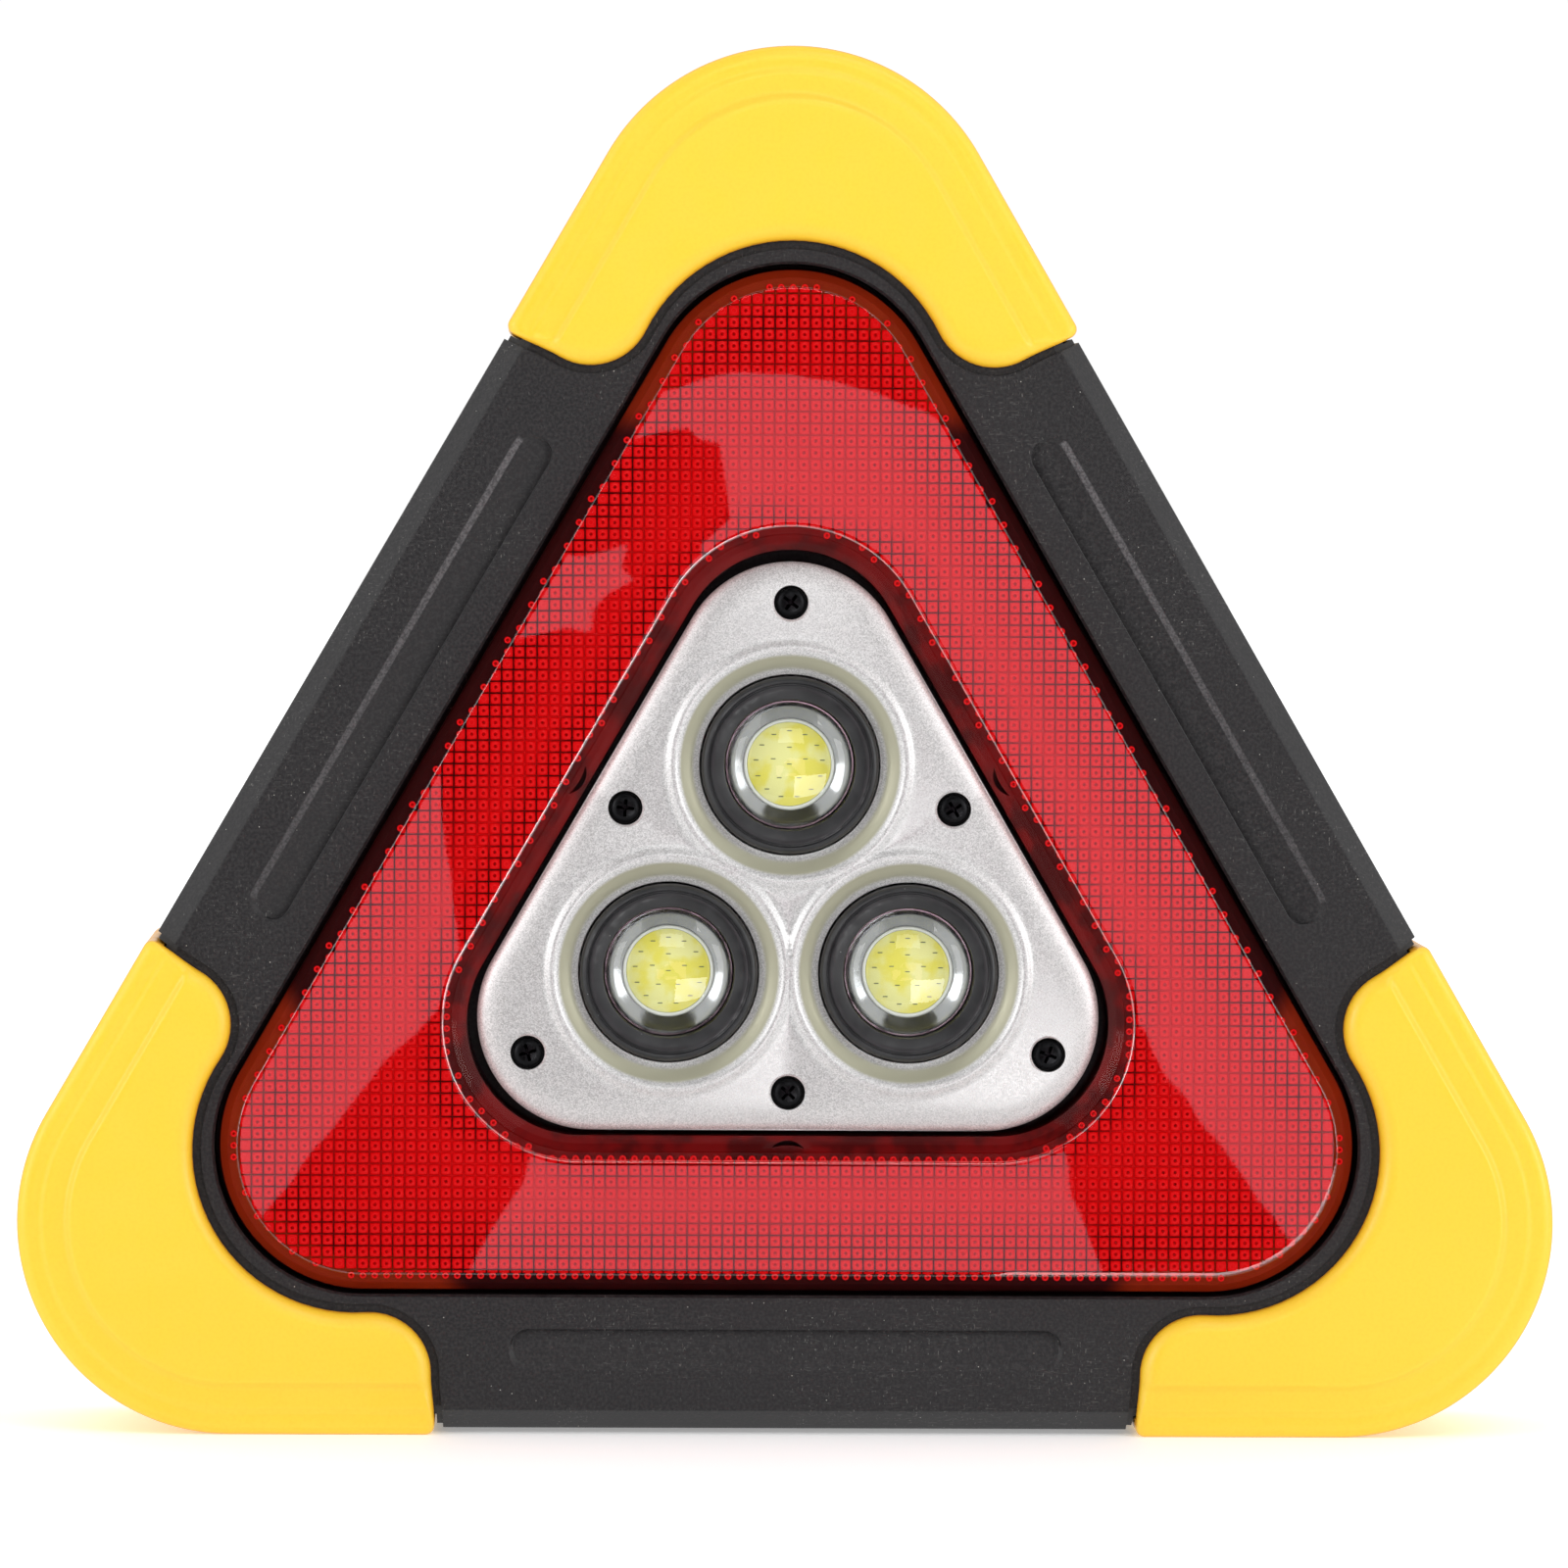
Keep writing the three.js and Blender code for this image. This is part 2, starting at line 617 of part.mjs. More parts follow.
function lampPieces() {
  const { ringRadius, lensRadius, ledRadius } = LAMP;
  const foot = LED_BOARD.front - GAP;
  const ledTop = foot - 0.9;
  const ledge = ledTop - 0.5;
  const lensFlat = ledge - GAP;
  const bore = lensRadius + GAP;
  const ringTop = -20.2;
  const ring = [
    [bore, ringTop],
    [ringRadius - 0.9, ringTop],
    [ringRadius, ringTop + 0.6],
    [ringRadius, foot],
    [ledRadius + GAP, foot],
    [ledRadius + GAP, ledge],
    [bore, ledge],
    [bore, ringTop],
  ];
  const domeEdge = -18.6;
  const domeRise = 2.6;
  const dome = Array.from({ length: 5 }, (_, i) => {
    const angle = (Math.PI / 2) * (i / 4);
    return [lensRadius * Math.sin(angle), domeEdge - domeRise * Math.cos(angle)];
  });
  dome[0][0] = 0;
  const lens = [...dome, [lensRadius, lensFlat], [0, lensFlat]];
  const led = [
    [0, ledTop],
    [ledRadius - 0.7, ledTop],
    [ledRadius, ledTop + 0.2],
    [ledRadius, foot],
    [0, foot],
  ];
  lamps.forEach((place, i) => {
    addPiece(`lens_ring_${i + 1}`, 'ring', lathe(ring, place));
    addPiece(`cob_lens_${i + 1}`, 'clear', lathe(lens, place));
    addPiece(`cob_led_${i + 1}`, 'phosphor', lathe(led, place));
  });
  const { inradius, cornerInset, front, back } = LED_BOARD;
  const screwHoles = bezelScrews.map((spot) =>
    rod(BEZEL_SCREW.shankRadius + GAP, -THROUGH, THROUGH, spot, SMALL_STEPS),
  );
  addPiece('led_board', 'board', cut(trianglePlate(inradius, cornerInset, front, back), screwHoles));
}

// ---------------------------------------------------------------- battery and electronics

function battery() {
  const { thickness, front, back, rise, end } = TERMINAL;
  const { depth, height, radius, length } = BATTERY;
  const plateTop = height + rise;
  const plateBottom = height - rise;
  const tip = end - thickness - GAP;
  const nipple = 1.2;
  const shoulder = tip - nipple;
  const base = tip - length;
  const can = crossRod(radius, base, shoulder, depth, height);
  const button = crossRod(2.8, shoulder - 1, tip, depth, height, SMALL_STEPS);
  addPiece('battery_cell', 'cell', join(can, button));
  const contact = block(end - thickness, end, front, back, plateBottom, plateTop);
  addPiece('battery_contact', 'steel', contact);
  const springPlate = block(-end, thickness - end, front, back, plateBottom, plateTop);
  const spring = { radius: 5, turns: 2.5, wireRadius: 0.45, steps: 36 };
  const coilLeft = thickness - end + spring.wireRadius / 2;
  const coilRight = base - GAP - spring.wireRadius;
  const curve = new CoilCurve(spring.radius, spring.turns, coilLeft, coilRight);
  const coil = sweep(curve, spring.wireRadius, spring.steps);
  addPiece('battery_spring', 'steel', join(springPlate, coil));
}

function batteryDoor() {
  const { width, height, thickness } = DOOR;
  const { coverBack } = DEPTH;
  const middle = above(0, BATTERY.height);
  const body = plate(rectangle(width, height, middle), coverBack - thickness, coverBack);
  const hold = { width: 14, tall: 4, depth: 0.8 };
  const holdPlace = above(0, BATTERY.height + height / 2 - hold.tall);
  const outline = rectangle(hold.width, hold.tall, holdPlace);
  addPiece('battery_door', 'housing', cut(body, plate(outline, coverBack - hold.depth, THROUGH)));
}

function electronics() {
  const { front, back, width, tall, height } = DRIVER;
  const outline = rectangle(width, tall, above(0, height));
  addPiece('driver_board', 'circuit', plate(outline, front, back));
  const seat = back + GAP;
  const button = above(0, BUTTON.height);
  const tact = { width: 6, height: 1.7, plungerRadius: 1.6, plungerTop: 2.2 };
  const body = plate(rectangle(tact.width, tact.width, button), seat, seat + tact.height);
  const plunger = rod(tact.plungerRadius, seat + 1, seat + tact.plungerTop, button, SMALL_STEPS);
  addPiece('tact_switch', 'steel', join(body, plunger));
  const socket = above(0, USB.height);
  const shell = plate(rectangle(USB.width, USB.tall, socket), seat, 12.9);
  const walls = 1.1;
  const inside = rectangle(USB.width - walls, USB.tall - walls, socket);
  const mouth = plate(inside, seat + 0.8, THROUGH);
  addPiece('usb_socket', 'steel', cut(shell, mouth));
}

function buttonAndFlap() {
  const { coverBack } = DEPTH;
  const underSkin = coverBack - WALL - GAP;
  const cap = [
    [0, underSkin - BUTTON.flangeThickness],
    [BUTTON.flangeRadius, underSkin - BUTTON.flangeThickness],
    [BUTTON.flangeRadius, underSkin],
    [BUTTON.radius, underSkin],
    [BUTTON.radius, coverBack],
    [BUTTON.radius - 0.8, coverBack + BUTTON.rise],
    [0, coverBack + BUTTON.rise],
  ];
  addPiece('mode_button', 'rubber', lathe(cap, above(0, BUTTON.height)));
  const place = above(0, USB.height);
  const outline = rectangle(USB.flapWidth, USB.flapTall, place);
  const flap = plate(outline, coverBack - USB.flapSink, coverBack + 0.3);
  const tabPlace = above(0, USB.height + USB.flapTall / 2 - 1);
  const tab = plate(rectangle(5, 1.6, tabPlace), coverBack, coverBack + 0.6);
  addPiece('usb_flap', 'rubber', join(flap, tab));
}

function leads() {
  const boardFront = DRIVER.front - 2 * GAP;
  const pocketTop = BATTERY.height + TERMINAL.rise + GAP;
  const sides = { negative: -1, positive: 1 };
  for (const [name, side] of Object.entries(sides)) {
    const route = [
      [side * 11, boardFront, 76],
      [side * 11, boardFront - 2, 75.5],
      [side * 13, boardFront - 3, 71],
      [side * 20, LEAD.depth - 1, 66],
      [side * 31, LEAD.depth, 65],
      [side * LEAD.x, LEAD.depth, 60],
      [side * LEAD.x, LEAD.depth, pocketTop],
    ];
    const finish = side > 0 ? 'redWire' : 'blackWire';
    addPiece(`battery_lead_${name}`, finish, wire(route, LEAD.radius, 20));
  }
  const ledEnd = LED_BOARD.back + GAP;
  const ledX = ledLeadPlace.x;
  const ledZ = ledLeadPlace.y + CENTRE_HEIGHT;
  const ledRoute = [
    [ledX - 1, boardFront, ledZ - 2],
    [ledX - 0.5, boardFront - 5, ledZ - 2],
    [ledX, OPENING.floorBack + 2, ledZ],
    [ledX, ledEnd, ledZ],
  ];
  addPiece('led_lead', 'blackWire', wire(ledRoute, 1, 10));
  const warningEnd = OPENING.floorFront;
  const warningX = warningLeadPlace.x;
  const warningZ = warningLeadPlace.y + CENTRE_HEIGHT;
  const warningRoute = [
    [warningX - 4, boardFront, warningZ - 18],
    [warningX - 4, boardFront - 5, warningZ - 15],
    [warningX, OPENING.floorBack + 4, warningZ - 2],
    [warningX, OPENING.floorBack + 1, warningZ],
    [warningX, warningEnd, warningZ],
  ];
  addPiece('warning_lead', 'blackWire', wire(warningRoute, 1, 14));
}

// ---------------------------------------------------------------- folding stand

function stand() {
  const { outerHalf, innerHalf, axisHeight, thickness, pinRadius, gripHalf } = HANDLE;
  const { handleAxis, handleFront, handleBack } = DEPTH;
  const front = handleAxis - thickness / 2;
  const back = handleAxis + thickness / 2;
  const eyes = [-1, 1].map((side) => {
    const left = side > 0 ? innerHalf : -outerHalf;
    return crossRod(LUG.radius, left, left + outerHalf - innerHalf, handleAxis, axisHeight);
  });
  const bores = crossRod(pinRadius + GAP, -THROUGH - 5, THROUGH + 5, handleAxis, axisHeight);
  const bow = cut(join(plate(handleOutline(), front, back), eyes), bores);

  const barMiddle = (HANDLE.bottom + HANDLE.barTop) / 2;
  const neckHalfDepth = 1.6;
  const neckRise = 3.4;
  const gripRise = 5.6;
  const notch = block(-gripHalf - GAP, gripHalf + GAP, 0, THROUGH, 0, barMiddle + 2 * gripRise);
  const neck = block(
    -gripHalf - 1, gripHalf + 1,
    handleAxis - neckHalfDepth, handleAxis + neckHalfDepth,
    barMiddle - neckRise, barMiddle + neckRise,
  );
  addPiece('stand_handle', 'housing', join(cut(bow, notch), neck));

  const sleeve = block(
    -gripHalf, gripHalf, handleFront, handleBack, barMiddle - gripRise, barMiddle + gripRise,
  );
  const sleeveBore = block(
    -THROUGH, THROUGH,
    handleAxis - neckHalfDepth - GAP, handleAxis + neckHalfDepth + GAP,
    barMiddle - neckRise - GAP, barMiddle + neckRise + GAP,
  );
  addPiece('handle_grip', 'rubber', cut(sleeve, sleeveBore));

  const pinInner = innerHalf + 0.7;
  const pinOuter = LUG.outer - GAP;
  const leftPin = crossRod(pinRadius, -pinOuter, -pinInner, handleAxis, axisHeight);
  const rightPin = crossRod(pinRadius, pinInner, pinOuter, handleAxis, axisHeight);
  addPiece('pivot_pin_left', 'steel', leftPin);
  addPiece('pivot_pin_right', 'steel', rightPin);
}

frontFrame();
cornerGuards();
rearCover();
rearScrews();
redLens();
warningLights();
reflectorBezel();
bezelScrewPieces();
lampPieces();
battery();
batteryDoor();
electronics();
buttonAndFlap();
leads();
stand();

export default group;
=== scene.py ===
"""LED warning triangle: the looks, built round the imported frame.

Outlines are drawn in millimetres about the middle of the triangle, as (across, up).
A depth is a Y value in millimetres, so the front of a piece is the smaller number.
"""
import math

import bmesh
import bpy
import numpy as np
from mathutils import Matrix, Vector
from mathutils.geometry import delaunay_2d_cdt

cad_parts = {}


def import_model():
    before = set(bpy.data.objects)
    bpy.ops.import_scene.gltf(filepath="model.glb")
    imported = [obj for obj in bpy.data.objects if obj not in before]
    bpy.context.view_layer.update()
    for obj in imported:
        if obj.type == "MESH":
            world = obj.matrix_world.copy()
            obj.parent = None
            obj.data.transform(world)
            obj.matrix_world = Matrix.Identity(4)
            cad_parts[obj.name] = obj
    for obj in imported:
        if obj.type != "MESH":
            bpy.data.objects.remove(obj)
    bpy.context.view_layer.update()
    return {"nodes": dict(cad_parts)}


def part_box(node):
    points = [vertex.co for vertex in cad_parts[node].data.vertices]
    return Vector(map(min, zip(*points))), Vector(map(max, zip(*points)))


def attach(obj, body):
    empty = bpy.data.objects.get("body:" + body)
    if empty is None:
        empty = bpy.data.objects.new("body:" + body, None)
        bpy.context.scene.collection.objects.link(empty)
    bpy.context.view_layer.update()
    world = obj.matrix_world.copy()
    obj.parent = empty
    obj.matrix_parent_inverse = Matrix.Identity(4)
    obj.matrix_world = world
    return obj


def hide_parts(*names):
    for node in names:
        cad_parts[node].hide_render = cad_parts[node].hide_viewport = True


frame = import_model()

MM = 0.001
SIDES = (30, 150, 270)
CORNERS = {"top": 90, "left": 210, "right": 330}
FAR = 40.0  # deep enough to cut right through the housing


# ------------------------------------------------------------------ places read from the frame

def box_mm(node):
    """Lowest and highest corner of a CAD node in millimetres."""
    low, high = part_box(node)
    return np.array(low) / MM, np.array(high) / MM


def front(node):
    return box_mm(node)[0][1]


def back(node):
    return box_mm(node)[1][1]


def height(node):
    """Height of a node's middle above the base."""
    low, high = box_mm(node)
    return (low[2] + high[2]) / 2


LAMP_NODES = [f"cob_lens_{i}" for i in (1, 2, 3)]
CENTRE_HEIGHT = float(np.mean([height(node) for node in LAMP_NODES]))


def middle(node):
    """The middle of a node as (across, up) about the middle of the triangle."""
    low, high = box_mm(node)
    return np.array([(low[0] + high[0]) / 2, (low[2] + high[2]) / 2 - CENTRE_HEIGHT])


def inradius(node):
    """How far a triangular node reaches from the middle to its lower side."""
    return CENTRE_HEIGHT - box_mm(node)[0][2]


GAP = 0.3  # clearance between neighbouring pieces
WALL = 2.2  # moulded wall thickness
GUARD_INRADIUS = inradius("corner_guard_left")
HOUSING_INRADIUS = inradius("front_frame")
SKIRT_OUTER = inradius("red_lens")
BEZEL_INRADIUS = inradius("reflector_bezel")
GUARD_FRONT = front("corner_guard_top")
GUARD_BACK = back("corner_guard_top")
LAND = front("front_frame")
PARTING = back("front_frame")
COVER_FRONT = front("rear_cover")
COVER_BACK = back("battery_door")
LENS_FACE = front("red_lens")
LENS_BACK = back("red_lens")
BEZEL_FACE = front("reflector_bezel")
LAMPS = [middle(node) for node in LAMP_NODES]
REAR_SCREWS = [middle(f"rear_screw_{i}") for i in range(1, 7)]
PLATE_SCREWS = [middle(f"bezel_screw_{i}") for i in range(1, 7)]

# ------------------------------------------------------------------ sizes that set the looks

# A rounded triangle's inradius reaches from its middle to a side. Its inset is the inradius less
# the corner radius, so outlines with one inset run parallel.
HOUSING_INSET = 41.7
OPENING_INSET = 31.8
LENS_OUTER_INSET = 31.7
LENS_INNER_INSET = 15.6
BEZEL_INSET = 14.8

LAND_EDGE = HOUSING_INRADIUS - 2.6  # where the flat land of the housing meets its chamfer
CORE_INRADIUS = GUARD_INRADIUS - WALL - GAP  # the core is what the guards wrap
CORE_FRONT = GUARD_FRONT + WALL + GAP
CORE_BACK = GUARD_BACK - WALL - GAP
OPENING = SKIRT_OUTER + GAP  # the well in the housing that the lens sits in
OPENING_FLOOR = LENS_BACK + GAP
FACE_OUTER = SKIRT_OUTER - 2.7  # edges of the lens face, inside its two sloping skirts
FACE_INNER = 33.4
LEDGE = 32.2  # a small ledge halfway down the inner skirt
SKIRT_INNER = 30.1
SKIRT_BOTTOM = LAND
PRISM_PITCH = 1.53
PRISM_SHIFT = 0.36  # the rows of prisms lie this far above the middle

PLATE_HEAD = 1.9  # thickness of a plate screw's head
REAR_HEAD = 1.2  # thickness of a rear screw's head
GUARD_END = 46.2  # from the middle of a side to the cut end of a guard
GUARD_FLARE = 0.5  # how far the end of a guard widens at its outer tip
SINK_RADIUS = 3.0  # of the hole that a rear screw's head sits in
SHANK_HOLE = 1.5  # radius of the hole for a rear screw's shank
TIP_RADIUS = 1.2  # at the outer end of a guard's cut
FOOT_RADIUS = 8.0  # at its inner end
NOTCH_RADIUS = 21.2  # of the round notch between a guard's feet
NOTCH_CENTRE = 64.8
FOOT_ACROSS = NOTCH_CENTRE / 2 + math.sqrt(
    (NOTCH_RADIUS + FOOT_RADIUS) ** 2
    - (GUARD_END + FOOT_RADIUS - NOTCH_CENTRE * math.sqrt(0.75)) ** 2
)


# ------------------------------------------------------------------ outlines

def polar(degrees, distance=1.0):
    angle = math.radians(degrees)
    return np.array([distance * math.cos(angle), distance * math.sin(angle)])


def turned(points, degrees):
    c, s = math.cos(math.radians(degrees)), math.sin(math.radians(degrees))
    return np.asarray(points) @ np.array([[c, s], [-s, c]])


def arc(centre, radius, start, stop, steps):
    turn = (stop - start) / steps
    return [np.asarray(centre) + polar(start + turn * k, radius) for k in range(steps + 1)]


def circle(radius, centre=(0, 0), steps=48):
    return np.array(arc(centre, radius, 0, 360, steps)[:-1])


def triangle(to_side, inset, arc_steps=24):
    """Equilateral triangle with rounded corners, point up, anticlockwise. to_side is its reach
    from the middle to a side."""
    arcs = [
        arc(polar(corner, 2 * inset), to_side - inset, corner - 60, corner + 60, arc_steps)
        for corner in CORNERS.values()
    ]
    return np.concatenate(arcs)


def rounded_box(width, tall, radius, centre=(0, 0), arc_steps=6):
    """Rectangle with rounded corners, anticlockwise."""
    half = np.array([width / 2 - radius, tall / 2 - radius])
    signs = ((1, 1), (-1, 1), (-1, -1), (1, -1))
    arcs = [
        arc(np.asarray(centre) + half * sign, radius, 90 * quarter, 90 * quarter + 90, arc_steps)
        for quarter, sign in enumerate(signs)
    ]
    return np.concatenate(arcs)


def from_side(across, along):
    """A point given by its distance across and along the right-hand side of the triangle."""
    return polar(30, across) + polar(120, along)


def guard_outline(outer=0.0, inner=0.0, end=0.0):
    """Outline of the top guard, clockwise. Its outer edge, the edge of its notch and feet, and
    its cut ends each move out by their own amount."""
    steps = 14
    edge = GUARD_INRADIUS + outer
    foot = from_side(FOOT_ACROSS, GUARD_END + FOOT_RADIUS)
    notch = np.array([0, NOTCH_CENTRE])
    lean = math.degrees(math.atan2(*(foot - notch)[::-1]))
    tip_across = edge - TIP_RADIUS
    tip_along = GUARD_END - GUARD_FLARE - end
    half = arc((0, 2 * HOUSING_INSET), edge - HOUSING_INSET, 90, 30, 2 * steps)
    half += arc(from_side(tip_across, tip_along + TIP_RADIUS), TIP_RADIUS, 30, -60, 6)
    for k in range(1, steps):
        share = k / steps
        blend = share * share * (3 - 2 * share)
        across = tip_across + (FOOT_ACROSS - tip_across) * share
        half.append(from_side(across, tip_along + (GUARD_END - inner - tip_along) * blend))
    half += arc(foot, FOOT_RADIUS + inner, -60, lean - 180, steps)
    half += arc(notch, NOTCH_RADIUS - inner, lean, 90, steps)[1:]
    half = np.array(half)
    other_half = half[-2:0:-1] * (-1, 1)
    return np.concatenate([half, other_half])


def edge_distance(points, to_side, inset):
    """How far each point is inside the edge of a rounded triangle."""
    points = np.asarray(points)
    reach = np.max([points @ polar(side) for side in SIDES], axis=0)
    distance = to_side - reach
    for corner in CORNERS.values():
        offset = points - polar(corner, 2 * inset)
        length = np.linalg.norm(offset, axis=1)
        in_corner = offset @ polar(corner) > length / 2
        distance = np.where(in_corner, to_side - inset - length, distance)
    return distance


def inside(points, outline):
    """Which points lie inside a closed outline."""
    x, y = np.asarray(points).T
    found = np.zeros(len(x), bool)
    for (x0, y0), (x1, y1) in zip(outline, np.roll(outline, -1, axis=0)):
        if y0 != y1:
            crosses = (y0 > y) != (y1 > y)
            found ^= crosses & (x < (x1 - x0) * (y - y0) / (y1 - y0) + x0)
    return found


def grid(reach, spacing):
    """Points of a square grid about the middle, as far as reach each way."""
    steps = int(reach / spacing)
    line = np.arange(-steps, steps + 1) * spacing
    return np.array([(x, y) for x in line for y in line])


def ease(value, start, stop):
    """A smooth step from 0 at start to 1 at stop."""
    t = np.clip((np.asarray(value) - start) / (stop - start), 0, 1)
    return t * t * (3 - 2 * t)


# ------------------------------------------------------------------ meshes

SAME_POINT = 2e-6  # points closer than this, in metres, are joined
ON_AXIS = 1e-3  # the least radius of a turned ring, which welds to one point


def world(points):
    """Points of (across, depth, up) in millimetres in the frame's metres."""
    return np.asarray(points, float) * MM + np.array([0, 0, CENTRE_HEIGHT * MM])


def at_depth(outline, depth):
    """An outline laid at one depth, or at a depth for each of its points."""
    outline = np.asarray(outline)
    return np.column_stack([outline[:, 0], np.broadcast_to(depth, len(outline)), outline[:, 1]])


def add_object(name, data):
    """Puts a new object with this mesh, camera or light in the scene."""
    item = bpy.data.objects.new(name, data)
    bpy.context.scene.collection.objects.link(item)
    return item


def mesh_object(name, points, faces):
    """An object from points in metres."""
    mesh = bpy.data.meshes.new(name)
    mesh.from_pydata([tuple(p) for p in points], [], faces)
    return add_object(name, mesh)


def shade_smooth(obj, up_to_angle):
    obj.data.shade_smooth()
    obj.data.set_sharp_from_angle(angle=math.radians(up_to_angle))


def weld(obj, smooth_angle=35):
    """Joins points that coincide, turns faces out and shades smooth up to an angle."""
    bm = bmesh.new()
    bm.from_mesh(obj.data)
    bmesh.ops.remove_doubles(bm, verts=bm.verts, dist=SAME_POINT)
    bmesh.ops.recalc_face_normals(bm, faces=bm.faces)
    bm.to_mesh(obj.data)
    bm.free()
    shade_smooth(obj, smooth_angle)


def new_object(name, points, faces, smooth_angle=35):
    """A piece from points of (across, depth, up) in millimetres."""
    obj = mesh_object(name, world(points), faces)
    weld(obj, smooth_angle)
    return obj


def skin(rings, closed=False, caps=(True, True)):
    """Points and faces of a surface through a row of rings. A closed row ends where it starts."""
    count, rows = len(rings[0]), len(rings)
    faces = []
    for row in range(rows if closed else rows - 1):
        here, there = row * count, (row + 1) % rows * count
        for i in range(count):
            after = (i + 1) % count
            faces.append((here + i, here + after, there + after, there + i))
    if not closed and caps[0]:
        faces.append(tuple(range(count))[::-1])
    if not closed and caps[1]:
        faces.append(tuple(range((rows - 1) * count, rows * count)))
    return np.concatenate(rings), faces


def loft(name, rings, closed=False, smooth_angle=35):
    return new_object(name, *skin(rings, closed), smooth_angle)


def extrude(name, outline, front_depth, back_depth):
    return loft(name, [at_depth(outline, front_depth), at_depth(outline, back_depth)])


def taper(name, layers, inset=HOUSING_INSET):
    """A rounded triangle whose inradius changes with depth. A layer is (depth, inradius)."""
    return loft(name, [at_depth(triangle(r, inset, 32), depth) for depth, r in layers])


def rounded_block(name, width, tall, radius, centre, sections, arc_steps=6):
    """A block with rounded corners. A section is (how far its outline grows, its depth)."""
    rings = []
    for grow, depth in sections:
        size = (width + 2 * grow, tall + 2 * grow)
        rings.append(at_depth(rounded_box(*size, radius + grow, centre, arc_steps), depth))
    return loft(name, rings)


def lathe(name, profile, centre=(0, 0), steps=64, smooth_angle=35):
    """Turns a profile of (radius, depth) about a front-to-back axis. A profile that doesn't start
    and end on the axis closes on itself."""
    closed = profile[0][0] > 0
    rings = [at_depth(circle(max(radius, ON_AXIS), centre, steps), depth) for radius, depth in profile]
    return loft(name, rings, closed, smooth_angle)


def post(place, radius, front_depth, back_depth, steps=24):
    """A plain round post, for joining or for cutting a hole."""
    profile = [(0, front_depth), (radius, front_depth), (radius, back_depth), (0, back_depth)]
    return lathe("post", profile, place, steps)


def at_x(outline, x):
    """An outline of (depth, up) laid in an upright plane at one x."""
    return np.column_stack([np.full(len(outline), x), outline])


def cross_lathe(name, profile, depth, axis_height, steps=48):
    """Turns a profile of (radius, x), which starts and ends on the axis, about a left-to-right axis
    at a depth and height."""
    centre = (depth, axis_height - CENTRE_HEIGHT)
    return loft(name, [at_x(circle(max(radius, ON_AXIS), centre, steps), x) for radius, x in profile])


def block(name, x, depth, z):
    """A plain box for cutting and joining, from pairs of limits. z is above the base."""
    corners = [(x[0], z[0]), (x[1], z[0]), (x[1], z[1]), (x[0], z[1])]
    return extrude(name, np.array(corners) - (0, CENTRE_HEIGHT), *depth)


def tube(name, points, radius, sides=12):
    """A round wire through points of (x, depth, height above the base)."""
    points = np.asarray(points, float)
    rings = []
    along = np.gradient(points, axis=0)
    side = np.array([0.0, 0.0, 1.0])
    for point, direction in zip(points, along):
        direction /= np.linalg.norm(direction)
        side = side - direction * (side @ direction)
        side /= np.linalg.norm(side)
        other = np.cross(direction, side)
        turns = [polar(360 * k / sides, radius) for k in range(sides)]
        rings.append([point + side * a + other * b - (0, 0, CENTRE_HEIGHT) for a, b in turns])
    return loft(name, [np.array(ring) for ring in rings])


def copy_of(obj):
    return add_object(obj.name, obj.data.copy())


def bake(obj):
    """Applies an object's modifiers."""
    graph = bpy.context.evaluated_depsgraph_get()
    mesh = bpy.data.meshes.new_from_object(obj.evaluated_get(graph))
    obj.modifiers.clear()
    obj.data = mesh
    return obj


def combine(obj, operation, tools):
    """Applies a boolean with each tool in turn, and removes the tools."""
    for tool in tools:
        modifier = obj.modifiers.new(operation, "BOOLEAN")
        modifier.operation = operation
        modifier.solver = "MANIFOLD"
        modifier.object = tool
    bake(obj)
    for tool in tools:
        bpy.data.objects.remove(tool)
    weld(obj)
    return obj


def cut(obj, *tools):
    return combine(obj, "DIFFERENCE", tools)


def join(obj, *tools):
    return combine(obj, "UNION", tools)


def flatten_shading(obj):
    """Keeps large flat faces flat where they meet small rounded ones."""
    modifier = obj.modifiers.new("weigh", "WEIGHTED_NORMAL")
    modifier.keep_sharp = True
    modifier.weight = 100
    return bake(obj)


def relief_cap(boundary, points, depth, clearance):
    """Points and triangles over the area inside a boundary, at the depth that a function gives.
    Points nearer to the boundary than the clearance are left out."""
    points = points[inside(points, boundary)]
    gaps = np.array([np.min(np.linalg.norm(boundary - point, axis=1)) for point in points])
    points = np.concatenate([boundary, points[gaps > clearance]])
    count = len(boundary)
    edges = [(i, (i + 1) % count) for i in range(count)]
    flat, _, faces, *_ = delaunay_2d_cdt([Vector(p) for p in points], edges, [], 1, 1e-6)
    flat = np.array([tuple(p) for p in flat])
    return at_depth(flat, depth(flat)), [tuple(face) for face in faces]


def merge_parts(*parts):
    """Joins lists of points and faces into one."""
    points, faces, start = [], [], 0
    for part_points, part_faces in parts:
        points.append(part_points)
        faces += [tuple(start + i for i in face) for face in part_faces]
        start += len(part_points)
    return np.concatenate(points), faces


def set_attribute(obj, name, values):
    """Stores a value for each point of a mesh, for its material to read."""
    attribute = obj.data.attributes.new(name, "FLOAT", "POINT")
    attribute.data.foreach_set("value", np.asarray(values, np.float32))


def flat_points(obj):
    """The points of a mesh as (across, up), and their depths."""
    points = np.array([tuple(v.co) for v in obj.data.vertices]) / MM
    return points[:, (0, 2)] - (0, CENTRE_HEIGHT), points[:, 1]


def finish_piece(obj, body, slot, material, *nodes):
    """Gives a piece its body and its material, and hides the CAD nodes it stands for. Its slot is not used.
    """
    obj.data.materials.clear()
    obj.data.materials.append(material)
    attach(obj, body)
    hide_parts(*nodes)
    return obj


# ------------------------------------------------------------------ materials

ACRYLIC_IOR = 1.49


